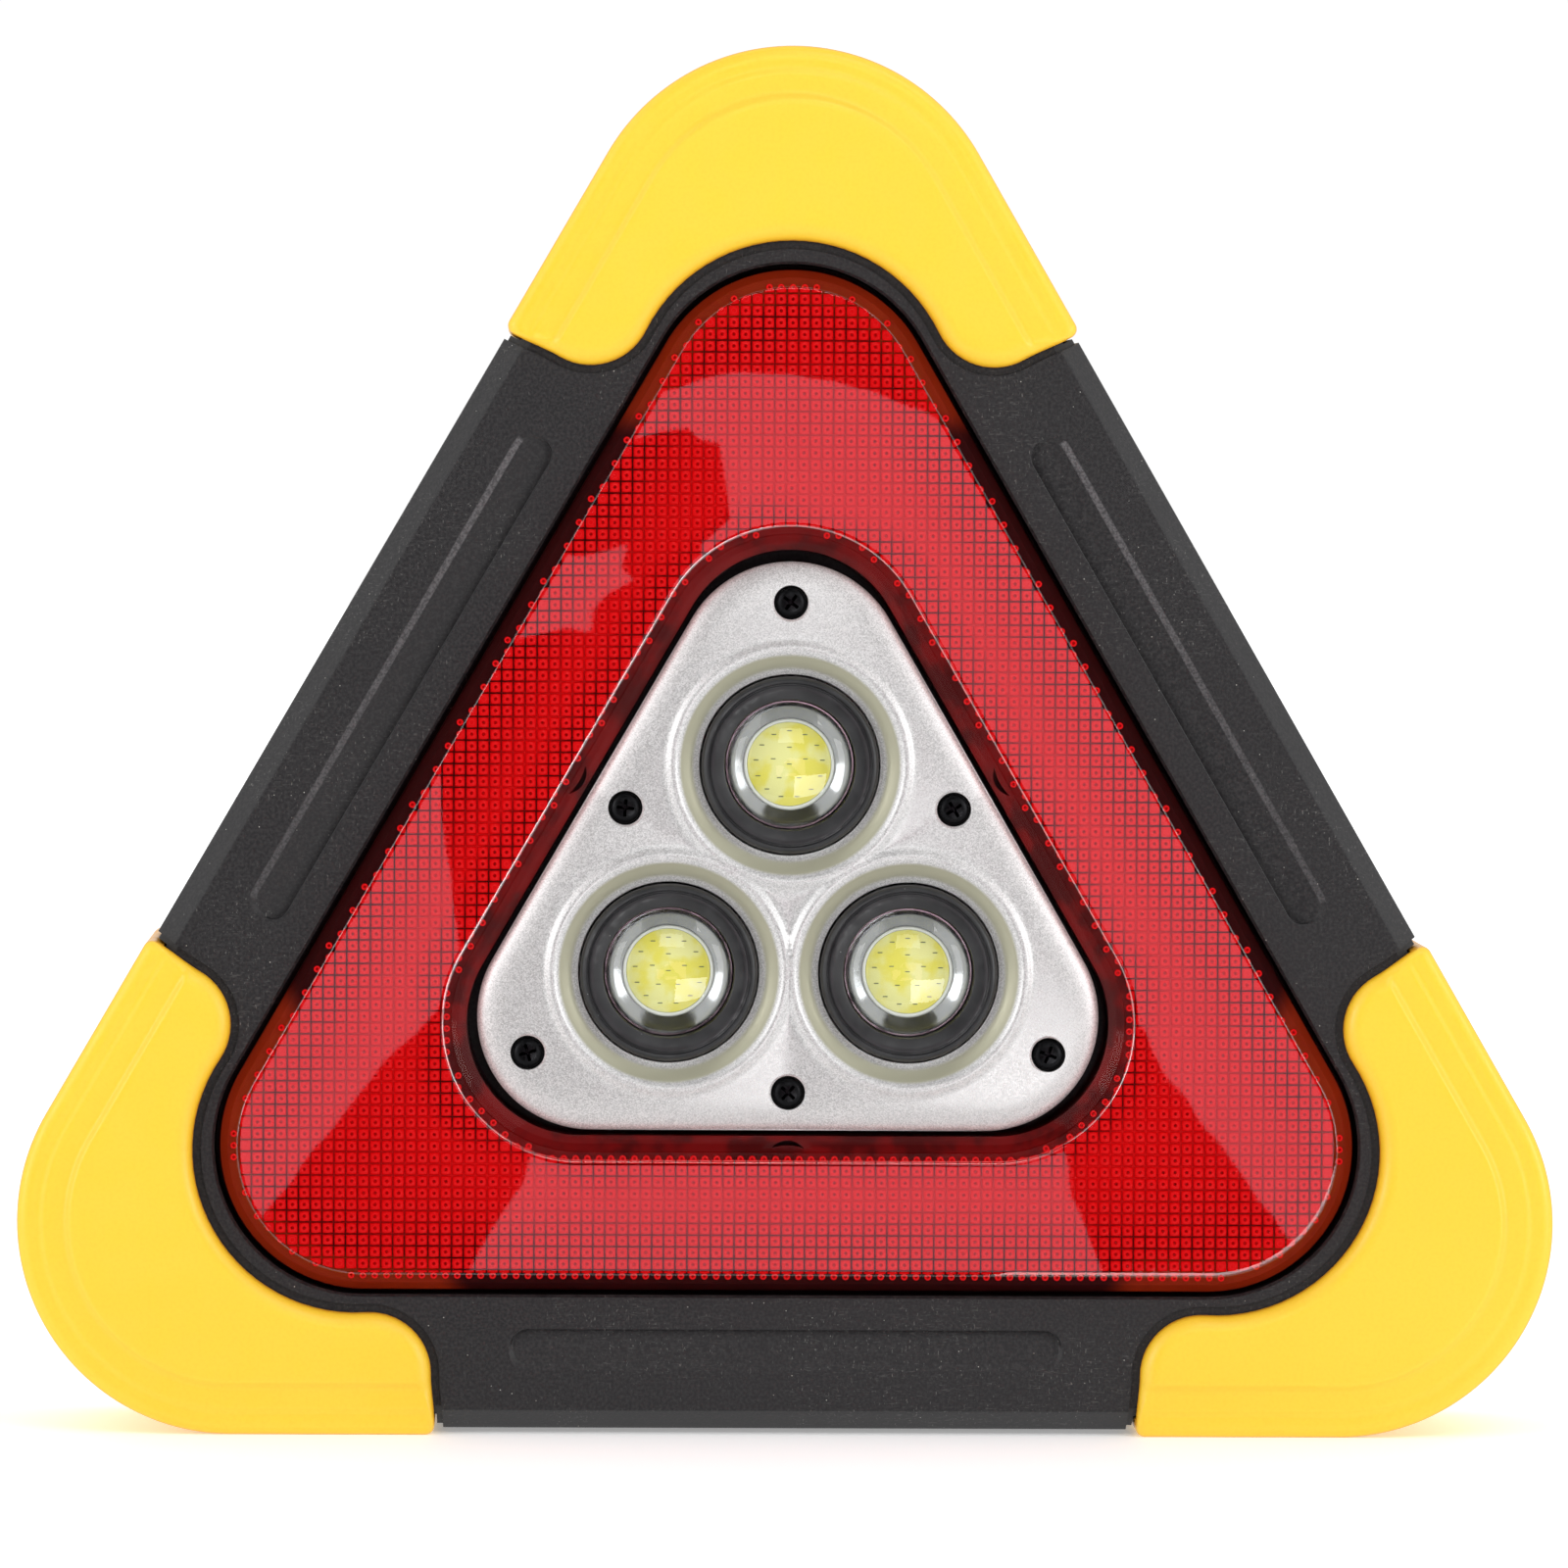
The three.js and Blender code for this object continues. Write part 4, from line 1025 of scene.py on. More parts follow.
def pocket_space(inner):
    """The battery compartment, the door's stepped mouth and the holes for the two leads."""
    half, rise = POCKET_LENGTH / 2, POCKET_HEIGHT / 2
    space = block(
        "space", (-half, half), (POCKET_FLOOR, inner + 0.01), (BATTERY_HEIGHT - rise, BATTERY_HEIGHT + rise)
    )
    low, high = box_mm("battery_door")
    width, tall = high[0] - low[0] + 2 * GAP, high[2] - low[2] + 2 * GAP
    sections = ((0, low[1] - GAP), (0, COVER_BACK - 0.25), (0.25, COVER_BACK + 0.01), (0.25, FAR))
    centre = (0, BATTERY_HEIGHT - CENTRE_HEIGHT)
    tools = [space, rounded_block("mouth", width, tall, 1.6, centre, sections)]
    for lead in ("battery_lead_positive", "battery_lead_negative"):
        side = math.copysign(1, middle(lead)[0])
        x = side * (max(abs(box_mm(lead)[0][0]), abs(box_mm(lead)[1][0])) - 0.6)
        tools.append(
            block("lead_hole", (x - 1, x + 1), (2, 4), (BATTERY_HEIGHT, BATTERY_HEIGHT + POCKET_HEIGHT))
        )
    return tools


PIVOT_HEIGHT = height("pivot_pin_left")
PIVOT_DEPTH = (front("pivot_pin_left") + back("pivot_pin_left")) / 2
PIN_RADIUS = (back("pivot_pin_left") - front("pivot_pin_left")) / 2
LUG_INNER = 42.0  # the ears that hold the stand's pins
LUG_OUTER = 46.0
LUG_RADIUS = 3.3


def rod(name, left, right, radius, chamfer, steps=48):
    """A rod with chamfered ends along the stand's axis."""
    profile = [(0, left), (radius - chamfer, left), (radius, left + chamfer)]
    profile += [(radius, right - chamfer), (radius - chamfer, right), (0, right)]
    return cross_lathe(name, profile, PIVOT_DEPTH, PIVOT_HEIGHT, steps)


def pin_bore(left, right):
    """A cutter for the bore round the stand's pins."""
    radius = PIN_RADIUS + GAP
    profile = [(0, left), (radius, left), (radius, right), (0, right)]
    return cross_lathe("bore", profile, PIVOT_DEPTH, PIVOT_HEIGHT)


def lugs():
    """Two ears on the back with a rounded top, each bored for a pin of the stand."""
    tools = []
    for side in (-1, 1):
        left, right = sorted((side * LUG_INNER, side * LUG_OUTER))
        ear = rod("ear", left, right, LUG_RADIUS, 0.3)
        heights = (PIVOT_HEIGHT - LUG_RADIUS, PIVOT_HEIGHT + LUG_RADIUS)
        foot = block("foot", (left, right), (COVER_BACK - 1, PIVOT_DEPTH), heights)
        tools.append(cut(join(ear, foot), pin_bore(left - 1, right + 1)))
    return tools


BUTTON = middle("mode_button")
BUTTON_RADIUS = 7.0
PORT = middle("usb_flap")


def button_hole():
    """Cutters for the button's hole and the shallow dish round it."""
    radius = BUTTON_RADIUS + GAP
    profile = [(0, 0), (radius, 0), (radius, COVER_BACK - 0.3), (radius + 0.35, COVER_BACK + 0.01)]
    profile += [(radius + 0.35, FAR), (0, FAR)]
    dish = [(0, COVER_BACK - 0.4), (9.4, COVER_BACK - 0.4), (10, COVER_BACK + 0.01), (10, FAR), (0, FAR)]
    return [lathe("hole", profile, BUTTON, 64), lathe("dish", dish, BUTTON, 64)]


def port_recess():
    """Cutters for the flap's recess and the socket's mouth."""
    low, high = box_mm("usb_flap")
    width, tall = high[0] - low[0] + 2 * GAP, high[2] - low[2] + 2 * GAP
    socket_low, socket_high = box_mm("usb_socket")
    mouth = (socket_high[0] - socket_low[0] + 2 * GAP, socket_high[2] - socket_low[2] + 2 * GAP)
    recess = extrude("recess", rounded_box(width, tall, 1.3, PORT), COVER_BACK - 1.3, FAR)
    return [recess, extrude("mouth", rounded_box(*mouth, 1.5, middle("usb_socket")), 0, FAR)]


def back_slots():
    """Short slots on the two upper sides, below the screws in the middle of each."""
    return slot_tools(COVER_BACK, -1, SIDES[:2], 26.0, -24.0)


# ------------------------------------------------------------------ red lens

def lens_ring(edge, radius, depth):
    """One ring of the lens. edge is "outer" or "inner"."""
    inset = LENS_OUTER_INSET if edge == "outer" else LENS_INNER_INSET
    return at_depth(triangle(radius, inset, 40), depth)


def lens_skin():
    """The clear red moulding: a flat face between an outer and an inner sloping skirt."""
    face, bottom, back_depth = LENS_FACE, SKIRT_BOTTOM, LENS_BACK
    wall = 0.25
    sections = [
        ("outer", SKIRT_OUTER, back_depth),
        ("outer", SKIRT_OUTER, bottom + 0.15),
        ("outer", SKIRT_OUTER - 0.12, bottom - 0.15),
        ("outer", FACE_OUTER + 0.16, face + 0.22),
        ("outer", FACE_OUTER + 0.07, face + 0.09),
        ("outer", FACE_OUTER - 0.03, face + 0.02),
        ("outer", FACE_OUTER - 0.14, face),
        ("outer", FACE_OUTER - 0.5, face),
        ("inner", FACE_INNER + 0.6, face),
        ("inner", FACE_INNER + 0.24, face),
        ("inner", FACE_INNER + 0.12, face + 0.02),
        ("inner", FACE_INNER + 0.02, face + 0.08),
        ("inner", FACE_INNER - 0.08, face + 0.2),
        ("inner", LEDGE + 0.35, face + 1.35),
        ("inner", LEDGE + 0.2, face + 1.6),
        ("inner", LEDGE, face + 1.66),
        ("inner", SKIRT_INNER + 0.35, bottom - 0.2),
        ("inner", SKIRT_INNER + 0.08, bottom),
        ("inner", SKIRT_INNER, bottom + 0.3),
        ("inner", SKIRT_INNER, back_depth),
        ("inner", SKIRT_INNER + wall, back_depth),
        ("inner", SKIRT_INNER + wall, bottom + 0.4),
        ("inner", LEDGE + wall, face + 1.9),
        ("inner", FACE_INNER + 0.15, face + wall + 0.1),
        ("inner", FACE_INNER + 0.6, face + wall),
        ("outer", FACE_OUTER - 0.5, face + wall),
        ("outer", FACE_OUTER + 0.1, face + wall + 0.2),
        ("outer", SKIRT_OUTER - wall, bottom + 0.1),
        ("outer", SKIRT_OUTER - wall, back_depth),
    ]
    lens = loft("lens_skin", [lens_ring(*section) for section in sections], closed=True, smooth_angle=30)
    lens = cut(lens, *[gate_mark(side) for side in SIDES])
    places, depths = flat_points(lens)
    outer_side = edge_distance(places, FACE_OUTER, LENS_OUTER_INSET) < 1
    skirt_gloss = np.where(outer_side, 0.1, 0.2)
    edge_gloss = np.where(outer_side, 2.5, 8.0)
    on_face, on_edge = depths < face + 0.01, depths < face + 0.15
    set_attribute(lens, "gloss", np.where(on_face, 1.0, np.where(on_edge, edge_gloss, skirt_gloss)))
    finish_piece(lens, "housing", "red_lens", RED_SKIN, "red_lens")


def crescent(half, rise, thickness):
    """A crescent with its points on the x axis, bulging down."""
    edges = []
    for sag in (rise, rise - thickness):
        radius = (half * half + sag * sag) / (2 * sag)
        opening = math.degrees(math.acos(half / radius))
        edges.append(arc((0, radius - sag), radius, -180 + opening, -opening, 12))
    return np.array(edges[0] + edges[1][-2:0:-1])


def gate_mark(side):
    """A cutter for the small crescent left by the mould in the inner skirt of each side."""
    outline = crescent(2.1, 1.0, 0.65) + (0, SKIRT_INNER + 1.8)
    return extrude("gate_mark", turned(outline, side - 90), LENS_FACE + 0.5, LAND + 2)


PRISM_BASE = LENS_FACE + 2.5


def lens_core():
    """The opaque inside of the lens, which carries the prisms on its floor."""
    base, bottom, back_depth = PRISM_BASE, SKIRT_BOTTOM, LENS_BACK
    outer, inner = SKIRT_OUTER - 0.4, SKIRT_INNER + 0.27
    floor_outer, floor_inner = FACE_OUTER + 1.3, FACE_INNER - 0.9
    thickness = 1.6
    floors = [("outer", floor_outer - d, base) for d in (0, 1.5, 3, 4.5, 6)]
    floors += [("inner", floor_inner + d, base) for d in (6, 4.5, 3, 1.5, 0)]
    sections = [("outer", outer, back_depth), ("outer", outer, bottom + 0.4), *floors]
    sections += [("inner", FACE_INNER - 1.1, base - 0.2), ("inner", inner, bottom + 0.1)]
    sections += [("inner", inner, back_depth)]
    sections += [
        ("inner", inner + thickness, back_depth),
        ("inner", inner + thickness, base + thickness),
        ("outer", outer - thickness, base + thickness),
        ("outer", outer - thickness, back_depth),
    ]
    core = loft("lens_core", [lens_ring(*section) for section in sections], closed=True)
    core = cut(core, *[gate_mark(side) for side in SIDES])
    places, depths = flat_points(core)
    # The field attribute paints light on the floor between the prisms: bright in the middle, shade near the
    # borders.
    set_attribute(core, "field", field(places) * (np.abs(depths - base) < 0.01))
    set_attribute(core, "skirt", 1.0 * (edge_distance(places, FACE_OUTER, LENS_OUTER_INSET) < 3))
    finish_piece(core, "housing", "red_lens", RED_CORE)


def border_distances(places):
    """Distance in from the outer and from the inner edge of the lens face."""
    outer = edge_distance(places, FACE_OUTER, LENS_OUTER_INSET)
    inner = -edge_distance(places, FACE_INNER, LENS_INNER_INSET)
    return outer, inner


def field(places):
    """Painted light on the prism field: 0 near the borders of the face, left in painted shade, to 1 inside,
    painted bright. The limit between them wanders."""
    outer, inner = border_distances(places)
    wander = 0.9 * np.sin(places[:, 0] / 3.1) + 0.9 * np.cos(places[:, 1] / 2.7)
    return ease(outer + wander, 4.0, 8.5) * ease(inner + wander, 1.6, 5.0)


WHOLE_PRISM = PRISM_PITCH * 0.7  # a cell this far inside the face has a whole prism
OUTERMOST_SQUARE = -0.45  # a cell further outside has only the rim of its pit
OUTERMOST_RIM = -0.62  # and one further out than this has nothing


def face_distance(places):
    """How far each place is inside the lens face. Beyond its edges it is negative."""
    return np.min(border_distances(places), axis=0)


def drawn_in(places):
    """Moves the places beyond an edge of the lens face straight back to it."""
    step = 0.01
    here = face_distance(places)
    across = face_distance(places + (step, 0)) - here
    up = face_distance(places + (0, step)) - here
    inward = np.column_stack([across, up]) / step
    return places - inward * np.minimum(here, 0)[:, None]


def prism_ring(cell, steps, reach, corner_reach, rise):
    """A square ring about a cell, of a reach in pitches. Its corners are cut to corner_reach times
    that, so 1 makes it round. rise is its depth from the base."""
    angles = np.radians(np.arange(steps) * 360 / steps)
    ring = np.column_stack([np.cos(angles), np.sin(angles)])
    ring *= np.minimum(1 / np.max(np.abs(ring), axis=1), corner_reach)[:, None]
    return at_depth(cell + ring * reach * PRISM_PITCH, PRISM_BASE + rise)


def prism(cell, field_light_share):
    """The rings of a prism inside the field, and the tone of each, which paints its shading: dark at the base
    and darker towards the borders, bright on the rim top and dark in the pit.
    """
    rings = [
        prism_ring(cell, 8, 0.47, 1.38, 0.05),
        prism_ring(cell, 8, 0.4, 1.2, -0.3),
        prism_ring(cell, 8, 0.19, 1.0, -0.36),
        prism_ring(cell, 8, 0.085, 1.0, -0.1),
    ]
    return [(rings, (0.08 + 0.3 * field_light_share, 0.5, 1.0, 0.0))]


def border_prism(cell):
    """A prism that the edge of the face cuts, and the whole rim of its pit."""
    square = [prism_ring(cell, 24, 0.47, 1.38, 0.05), prism_ring(cell, 24, 0.4, 1.2, -0.3)]
    for ring in square:
        ring[:, (0, 2)] = drawn_in(ring[:, (0, 2)])
    rim = [
        prism_ring(cell, 16, 0.3, 1.0, 0.05),
        prism_ring(cell, 16, 0.27, 1.0, -0.32),
        prism_ring(cell, 16, 0.17, 1.0, -0.36),
        prism_ring(cell, 16, 0.085, 1.0, -0.1),
    ]
    # The tones paint shading: bright on the rim top, dark in the pit and at the base.
    parts = [(rim, (0.3, 0.8, 1.0, 0.0))]
    return parts + [(square, (0.1, 0.5))] if face_distance(cell[None])[0] > OUTERMOST_SQUARE else parts


def lens_prisms():
    """A square field of small raised prisms, each with a pit in its middle."""
    cells = grid(90, PRISM_PITCH) + (0, PRISM_SHIFT)
    reach = face_distance(cells)
    parts, painted_shading = [], []
    for cell, inside_by, field_light_share in zip(cells, reach, field(cells)):
        if inside_by < OUTERMOST_RIM:
            continue
        pieces = prism(cell, field_light_share) if inside_by > WHOLE_PRISM else border_prism(cell)
        for rings, ring_painted_shading in pieces:
            parts.append(skin(rings))
            painted_shading += [tone for tone in ring_painted_shading for _ in rings[0]]
    points, faces = merge_parts(*parts)
    prisms = mesh_object("lens_prisms", world(points), faces)
    shade_smooth(prisms, 30)
    # The tone attribute holds the painted highlight and shade of each prism ring.
    set_attribute(prisms, "tone", painted_shading)
    finish_piece(prisms, "housing", "red_lens", RED_PRISM)


# ------------------------------------------------------------------ centre plate

RING_RADIUS = 11.5
PLATE_DROP = 2.8  # from the top of the plate's rims to its lowest edge
PLATE_ROLL = 1.3  # how far the plate's edge rolls down
PLATE_ROLL_WIDTH = 4
PLATE_PROFILE = (  # distance from the middle of a lamp, and depth below the top of its rim
    (11.0, 2.2), (12.4, 1.95), (13.2, 1.45), (13.9, 0.9), (14.3, 0.5), (14.6, 0.24),
    (14.9, 0.06), (15.2, 0.0), (15.5, 0.06), (15.8, 0.24), (16.1, 0.44), (16.5, 0.54),
    (18.0, 0.68), (22.0, 1.15), (30.0, 2.05),
)


def lamp_distance(places):
    """How far each place is from the middle of the nearest lamp."""
    return np.min([np.linalg.norm(places - lamp, axis=1) for lamp in LAMPS], axis=0)


def plate_depth(places):
    """The plate's face: a dish and a rounded rim round each lamp, then a slope down to the edge."""
    edge = np.clip(edge_distance(places, BEZEL_INRADIUS, BEZEL_INSET) / PLATE_ROLL_WIDTH, 0, 1)
    shape = np.interp(lamp_distance(places), *zip(*PLATE_PROFILE))
    roll = PLATE_ROLL * (1 - np.sqrt(np.clip(1 - (1 - edge) ** 2, 0, 1)))
    return BEZEL_FACE + np.minimum(shape + roll, PLATE_DROP)


def plate_points():
    """Points over the centre plate, close together round each lamp and along its edge."""
    along_edge = []
    for from_edge in (0.15, 0.35, 0.65, 1.1, 1.7, 2.5, 3.5, 4.7):
        ring = triangle(BEZEL_INRADIUS - from_edge, BEZEL_INSET, 40)
        for a, b in zip(ring, np.roll(ring, -1, axis=0)):
            steps = max(1, int(np.linalg.norm(b - a) / 0.8))
            along_edge += [a + (b - a) * k / steps for k in range(steps)]
    radii = (
        10.6, 11.2, 11.7, 12.4, 12.8, 13.2, 13.55, 13.9, 14.1, 14.3, 14.45, 14.6, 14.75, 14.9,
        15.05, 15.2, 15.35, 15.5, 15.65, 15.8, 16.0, 16.3, 16.8, 17.4,
    )
    rings = []
    for lamp in LAMPS:
        for radius in radii:
            ring = circle(radius, lamp, 120)
            rings.append(ring[np.abs(lamp_distance(ring) - radius) < 1e-6])
    creases = [polar(side, distance) for side in SIDES for distance in np.arange(0, 28, 0.5)]
    open_area = grid(60, 1.3)
    edges = edge_distance(open_area, BEZEL_INRADIUS, BEZEL_INSET)
    open_area = open_area[(edges > 5.2) & (lamp_distance(open_area) > 18)]
    return np.concatenate([along_edge, *rings, creases, open_area])


def centre_plate():
    """The silver plate, with a hole for each lamp and each screw."""
    rim = triangle(BEZEL_INRADIUS, BEZEL_INSET, 40)
    bottom = BEZEL_FACE + PLATE_DROP
    cap = relief_cap(rim, plate_points(), plate_depth, 0.12)
    wall = skin([at_depth(rim, plate_depth(rim)), at_depth(rim, bottom + 0.35)], caps=(False, True))
    plate = new_object("centre_plate", *merge_parts(wall, cap), 50)
    tools = [post(lamp, RING_RADIUS + GAP, -FAR, FAR, 96) for lamp in LAMPS]
    for place in PLATE_SCREWS:
        surface = float(plate_depth(np.array([place]))[0])
        hole = [(0, -FAR), (2.5, -FAR), (2.5, surface - 0.1), (2.24, surface + 0.16), (2.2, FAR), (0, FAR)]
        tools.append(lathe("hole", hole, place, 40))
    plate = cut(plate, *tools)
    radius = lamp_distance(flat_points(plate)[0])
    band = ease(radius, 12.3, 12.9) * (1 - ease(radius, 14.1, 14.45))
    set_attribute(plate, "band", band)
    finish_piece(plate, "housing", "silver_paint", SILVER, "reflector_bezel")
    seats()


def seats():
    """The floor under each screw hole of the plate, which the screw clamps."""
    for i, place in enumerate(PLATE_SCREWS, 1):
        top, foot = front(f"bezel_screw_{i}") + PLATE_HEAD, front("led_board") - GAP
        profile = [(1.3, top), (3.1, top), (3.1, foot), (1.3, foot)]
        seat = lathe(f"screw_seat_{i}", profile, place, 40)
        finish_piece(seat, "housing", "black_plastic", BLACK)


# ------------------------------------------------------------------ lamps

LENS_RADIUS = 8.2


def lamp_ring(i, lamp):
    """Black ring: a rounded outer lip, a groove, and a band that falls a little to the lens."""
    foot = back(f"lens_ring_{i}")
    top = front(f"lens_ring_{i}")
    lip = [
        (0, 0.75), (0.08, 0.38), (0.3, 0.1), (0.55, 0), (0.78, 0.06), (0.88, 0.3), (0.95, 0.34),
        (1.1, 0.32), (1.18, 0.14), (1.4, 0.1), (1.9, 0.2),
    ]
    profile = [(RING_RADIUS - 0.05, foot), (RING_RADIUS, foot - 0.1)]
    profile += [(RING_RADIUS - inward, top + drop) for inward, drop in lip]
    profile += [(LENS_RADIUS + gap, top + drop) for gap, drop in ((0.55, 0.42), (0.36, 0.5), (0.3, 0.7))]
    profile += [(LENS_RADIUS + 0.3, foot - 1.5), (6.9, foot - 1.5), (6.9, foot)]
    ring = lathe(f"lamp_ring_{i}", profile, lamp, 96, 30)
    finish_piece(ring, "housing", "gloss_black", RING, f"lens_ring_{i}")


def lamp_dome(i, lamp):
    """Clear domed lens with a flat rim inside the ring."""
    top = front(f"cob_lens_{i}")
    rise = 2.6
    edge = top + rise
    steps = 14
    angles = [math.pi / 2 * k / steps for k in range(steps + 1)]
    dome = [((LENS_RADIUS - 0.1) * math.sin(a), edge - rise * math.cos(a)) for a in angles]
    profile = [*dome, (LENS_RADIUS, edge + 0.2), (LENS_RADIUS, edge + 1.0), (0, edge + 1.0)]
    shell = lathe(f"lamp_dome_{i}", profile, lamp, 96, 30)
    set_attribute(shell, "gloss", np.ones(len(shell.data.vertices)))
    finish_piece(shell, "housing", "clear_lens", DOME, f"cob_lens_{i}")


def lamp_cone(i, lamp):
    """Mirror-bright cone between the lens rim and the chip."""
    foot = front("led_board") - GAP
    profile = [
        (6.0, foot - 1.15), (6.2, foot - 1.3), (7.0, foot - 1.72), (7.7, foot - 2.2), (8.1, foot - 2.6),
        (8.3, foot - 2.6), (8.3, foot - 1.8), (6.4, foot - 0.9), (6.0, foot - 0.9),
    ]
    finish_piece(lathe(f"lamp_cone_{i}", profile, lamp, 96, 30), "housing", "clear_lens", MIRROR)


def lamp_chip(i, lamp):
    """The chip: a white dam round a disc of phosphor, with its bond marks just proud of it."""
    foot = front("led_board") - GAP
    top = foot - 0.9
    radius = 5.6
    dam = [
        (radius - 0.1, foot), (radius - 0.1, top - 0.22), (radius + 0.05, top - 0.32),
        (radius + 0.25, top - 0.32), (radius + 0.38, top - 0.2), (radius + 0.38, top + 0.3),
        (6.6, top + 0.4), (6.6, foot),
    ]
    finish_piece(lathe(f"chip_dam_{i}", dam, lamp, 96), "housing", "phosphor", DAM, f"cob_led_{i}")
    disc = [(0, top - 0.3), (2.5, top - 0.29), (4.6, top - 0.25)]
    disc += [(radius - 0.15, top - 0.16), (radius - 0.15, foot), (0, foot)]
    finish_piece(lathe(f"chip_disc_{i}", disc, lamp, 96), "housing", "phosphor", PHOSPHOR)
    places = [(0.0, 0.0)]
    places += [polar(90 + 72 * k, 2.2) for k in range(5)]
    places += [polar(90 + 360 / 13 * k, 4.35) for k in range(13)]
    bars = []
    for place in places:
        bar = rounded_box(0.62, 0.13, 0.05, np.asarray(place) + lamp, 2)
        bars.append(skin([at_depth(bar, top - 0.325), at_depth(bar, top - 0.2)]))
    marks = new_object(f"chip_marks_{i}", *merge_parts(*bars))
    finish_piece(marks, "housing", "phosphor", MARKS)


def lamps():
    for i, lamp in enumerate(LAMPS, 1):
        lamp_ring(i, lamp)
        lamp_dome(i, lamp)
        lamp_cone(i, lamp)
        lamp_chip(i, lamp)


# ------------------------------------------------------------------ screws

def screw_shape(head, thickness, shank, length, recess):
    """A cross-head screw on the axis, its head facing the front and its underside at depth 0."""
    crown = [(0, -thickness), (0.55 * head, -thickness + 0.04), (0.8 * head, -thickness + 0.16)]
    crown += [(0.95 * head, -thickness + 0.42), (head, -thickness + 0.7), (head, -0.08), (head - 0.08, 0)]
    thread = []
    pitch = 0.8
    for k in range(int((length - 1.5) / pitch)):
        start = 1 + k * pitch
        thread += [(0.78 * shank, start), (shank, start + pitch * 0.3), (0.78 * shank, start + pitch * 0.6)]
    profile = [*crown, (0.85 * shank, 0), (0.85 * shank, 0.6), *thread, (0.2, length - 0.2), (0, length)]
    screw = lathe("screw", profile, (0, 0), 40)
    for angle in (0, 90):
        wide = turned(rounded_box(2 * recess, 0.42 * head / 2, 0.12), angle)
        narrow = turned(rounded_box(0.7 * recess, 0.16, 0.07), angle)
        rings = [at_depth(wide, -thickness - 1), at_depth(wide, -thickness + 0.05), at_depth(narrow, -0.25)]
        screw = cut(screw, loft("cross", rings))
    screw.data.transform(Matrix.Translation((0, 0, -CENTRE_HEIGHT * MM)))
    return flatten_shading(screw)


def place_screws(template, name, node, slot, material, under, turn):
    """Puts a copy of a screw at each of six CAD screws. under gives the depth of its seat."""
    for i in range(1, 7):
        screw = add_object(f"{name}_{i}", template.data)
        across, up = middle(f"{node}_{i}")
        screw.location = Vector((across, under(f"{node}_{i}"), CENTRE_HEIGHT + up)) * MM
        screw.rotation_euler = (0, math.radians(37 * i), turn)
        finish_piece(screw, "housing", slot, material, f"{node}_{i}")
    bpy.data.objects.remove(template)


def screws():
    """Six black screws in the centre plate and six plated ones in the back."""
    small = screw_shape(2.0, PLATE_HEAD, 1.0, 6.3, 1.15)
    place_screws(
        small, "plate_screw", "bezel_screw", "black_screw", BLACK_STEEL, lambda n: front(n) + PLATE_HEAD, 0
    )
    large = screw_shape(2.7, REAR_HEAD, 1.2, 18, 1.6)
    place_screws(
        large, "back_screw", "rear_screw", "plated_steel", STEEL, lambda n: back(n) - REAR_HEAD, math.pi
    )


# ------------------------------------------------------------------ battery and controls

def battery():
    """The cell on its side, with its sleeve rolled over both ends."""
    (left, front_edge, low), (right, back_edge, high) = box_mm("battery_cell")
    radius = (high - low) / 2
    depth, axis_height = (front_edge + back_edge) / 2, (high + low) / 2
    shoulder = right - 1.2
    sleeve = [
        (0, left + 0.15), (radius - 2, left + 0.15), (radius - 1.9, left), (radius - 0.6, left),
        (radius - 0.1, left + 0.35), (radius, left + 0.9), (radius, shoulder - 2.6),
        (radius - 0.16, shoulder - 2.2), (radius - 0.16, shoulder - 1.8), (radius, shoulder - 1.4),
        (radius - 0.1, shoulder - 0.3), (radius - 0.5, shoulder), (radius - 2.2, shoulder),
        (radius - 2.3, shoulder - 0.15), (0, shoulder - 0.15),
    ]
    cell = cross_lathe("cell", sleeve, depth, axis_height, 64)
    finish_piece(cell, "housing", "battery_sleeve", SLEEVE, "battery_cell")
    cap = [(0, shoulder - 0.1), (6.4, shoulder - 0.1), (6.4, shoulder + 0.02), (3.2, shoulder + 0.04)]
    cap += [(2.8, shoulder + 0.9), (2.4, right), (0, right)]
    finish_piece(cross_lathe("cell_cap", cap, depth, axis_height, 48), "housing", "plated_steel", STEEL)


def terminals():
    """Sprung negative plate and flat positive plate at the ends of the compartment."""
    for name, node in (("negative_plate", "battery_spring"), ("positive_plate", "battery_contact")):
        low, high = box_mm(node)
        side = math.copysign(1, low[0])
        outer = side * max(abs(low[0]), abs(high[0]))
        x = sorted((outer, outer - side * 0.5))
        centre = ((low[1] + high[1]) / 2, (low[2] + high[2]) / 2 - CENTRE_HEIGHT)
        outline = rounded_box(high[1] - low[1], high[2] - low[2], 1.5) + centre
        plate = loft(name, [at_x(outline, x_place) for x_place in x])
        finish_piece(plate, "housing", "plated_steel", STEEL, node)
    low, high = box_mm("battery_spring")
    depth, turns, wire = (front("battery_cell") + back("battery_cell")) / 2, 3.5, 0.42
    start, end = low[0] + 0.5, high[0]
    route = []
    steps = 140
    for k in range(steps + 1):
        share = k / steps
        radius = 6.2 - 2.2 * share
        x = start + wire + (end - start - 2 * wire) * share
        turn = polar(360 * turns * share, radius)
        route.append((x, depth + turn[0], BATTERY_HEIGHT + turn[1]))
    finish_piece(tube("coil_spring", route, wire), "housing", "plated_steel", STEEL)


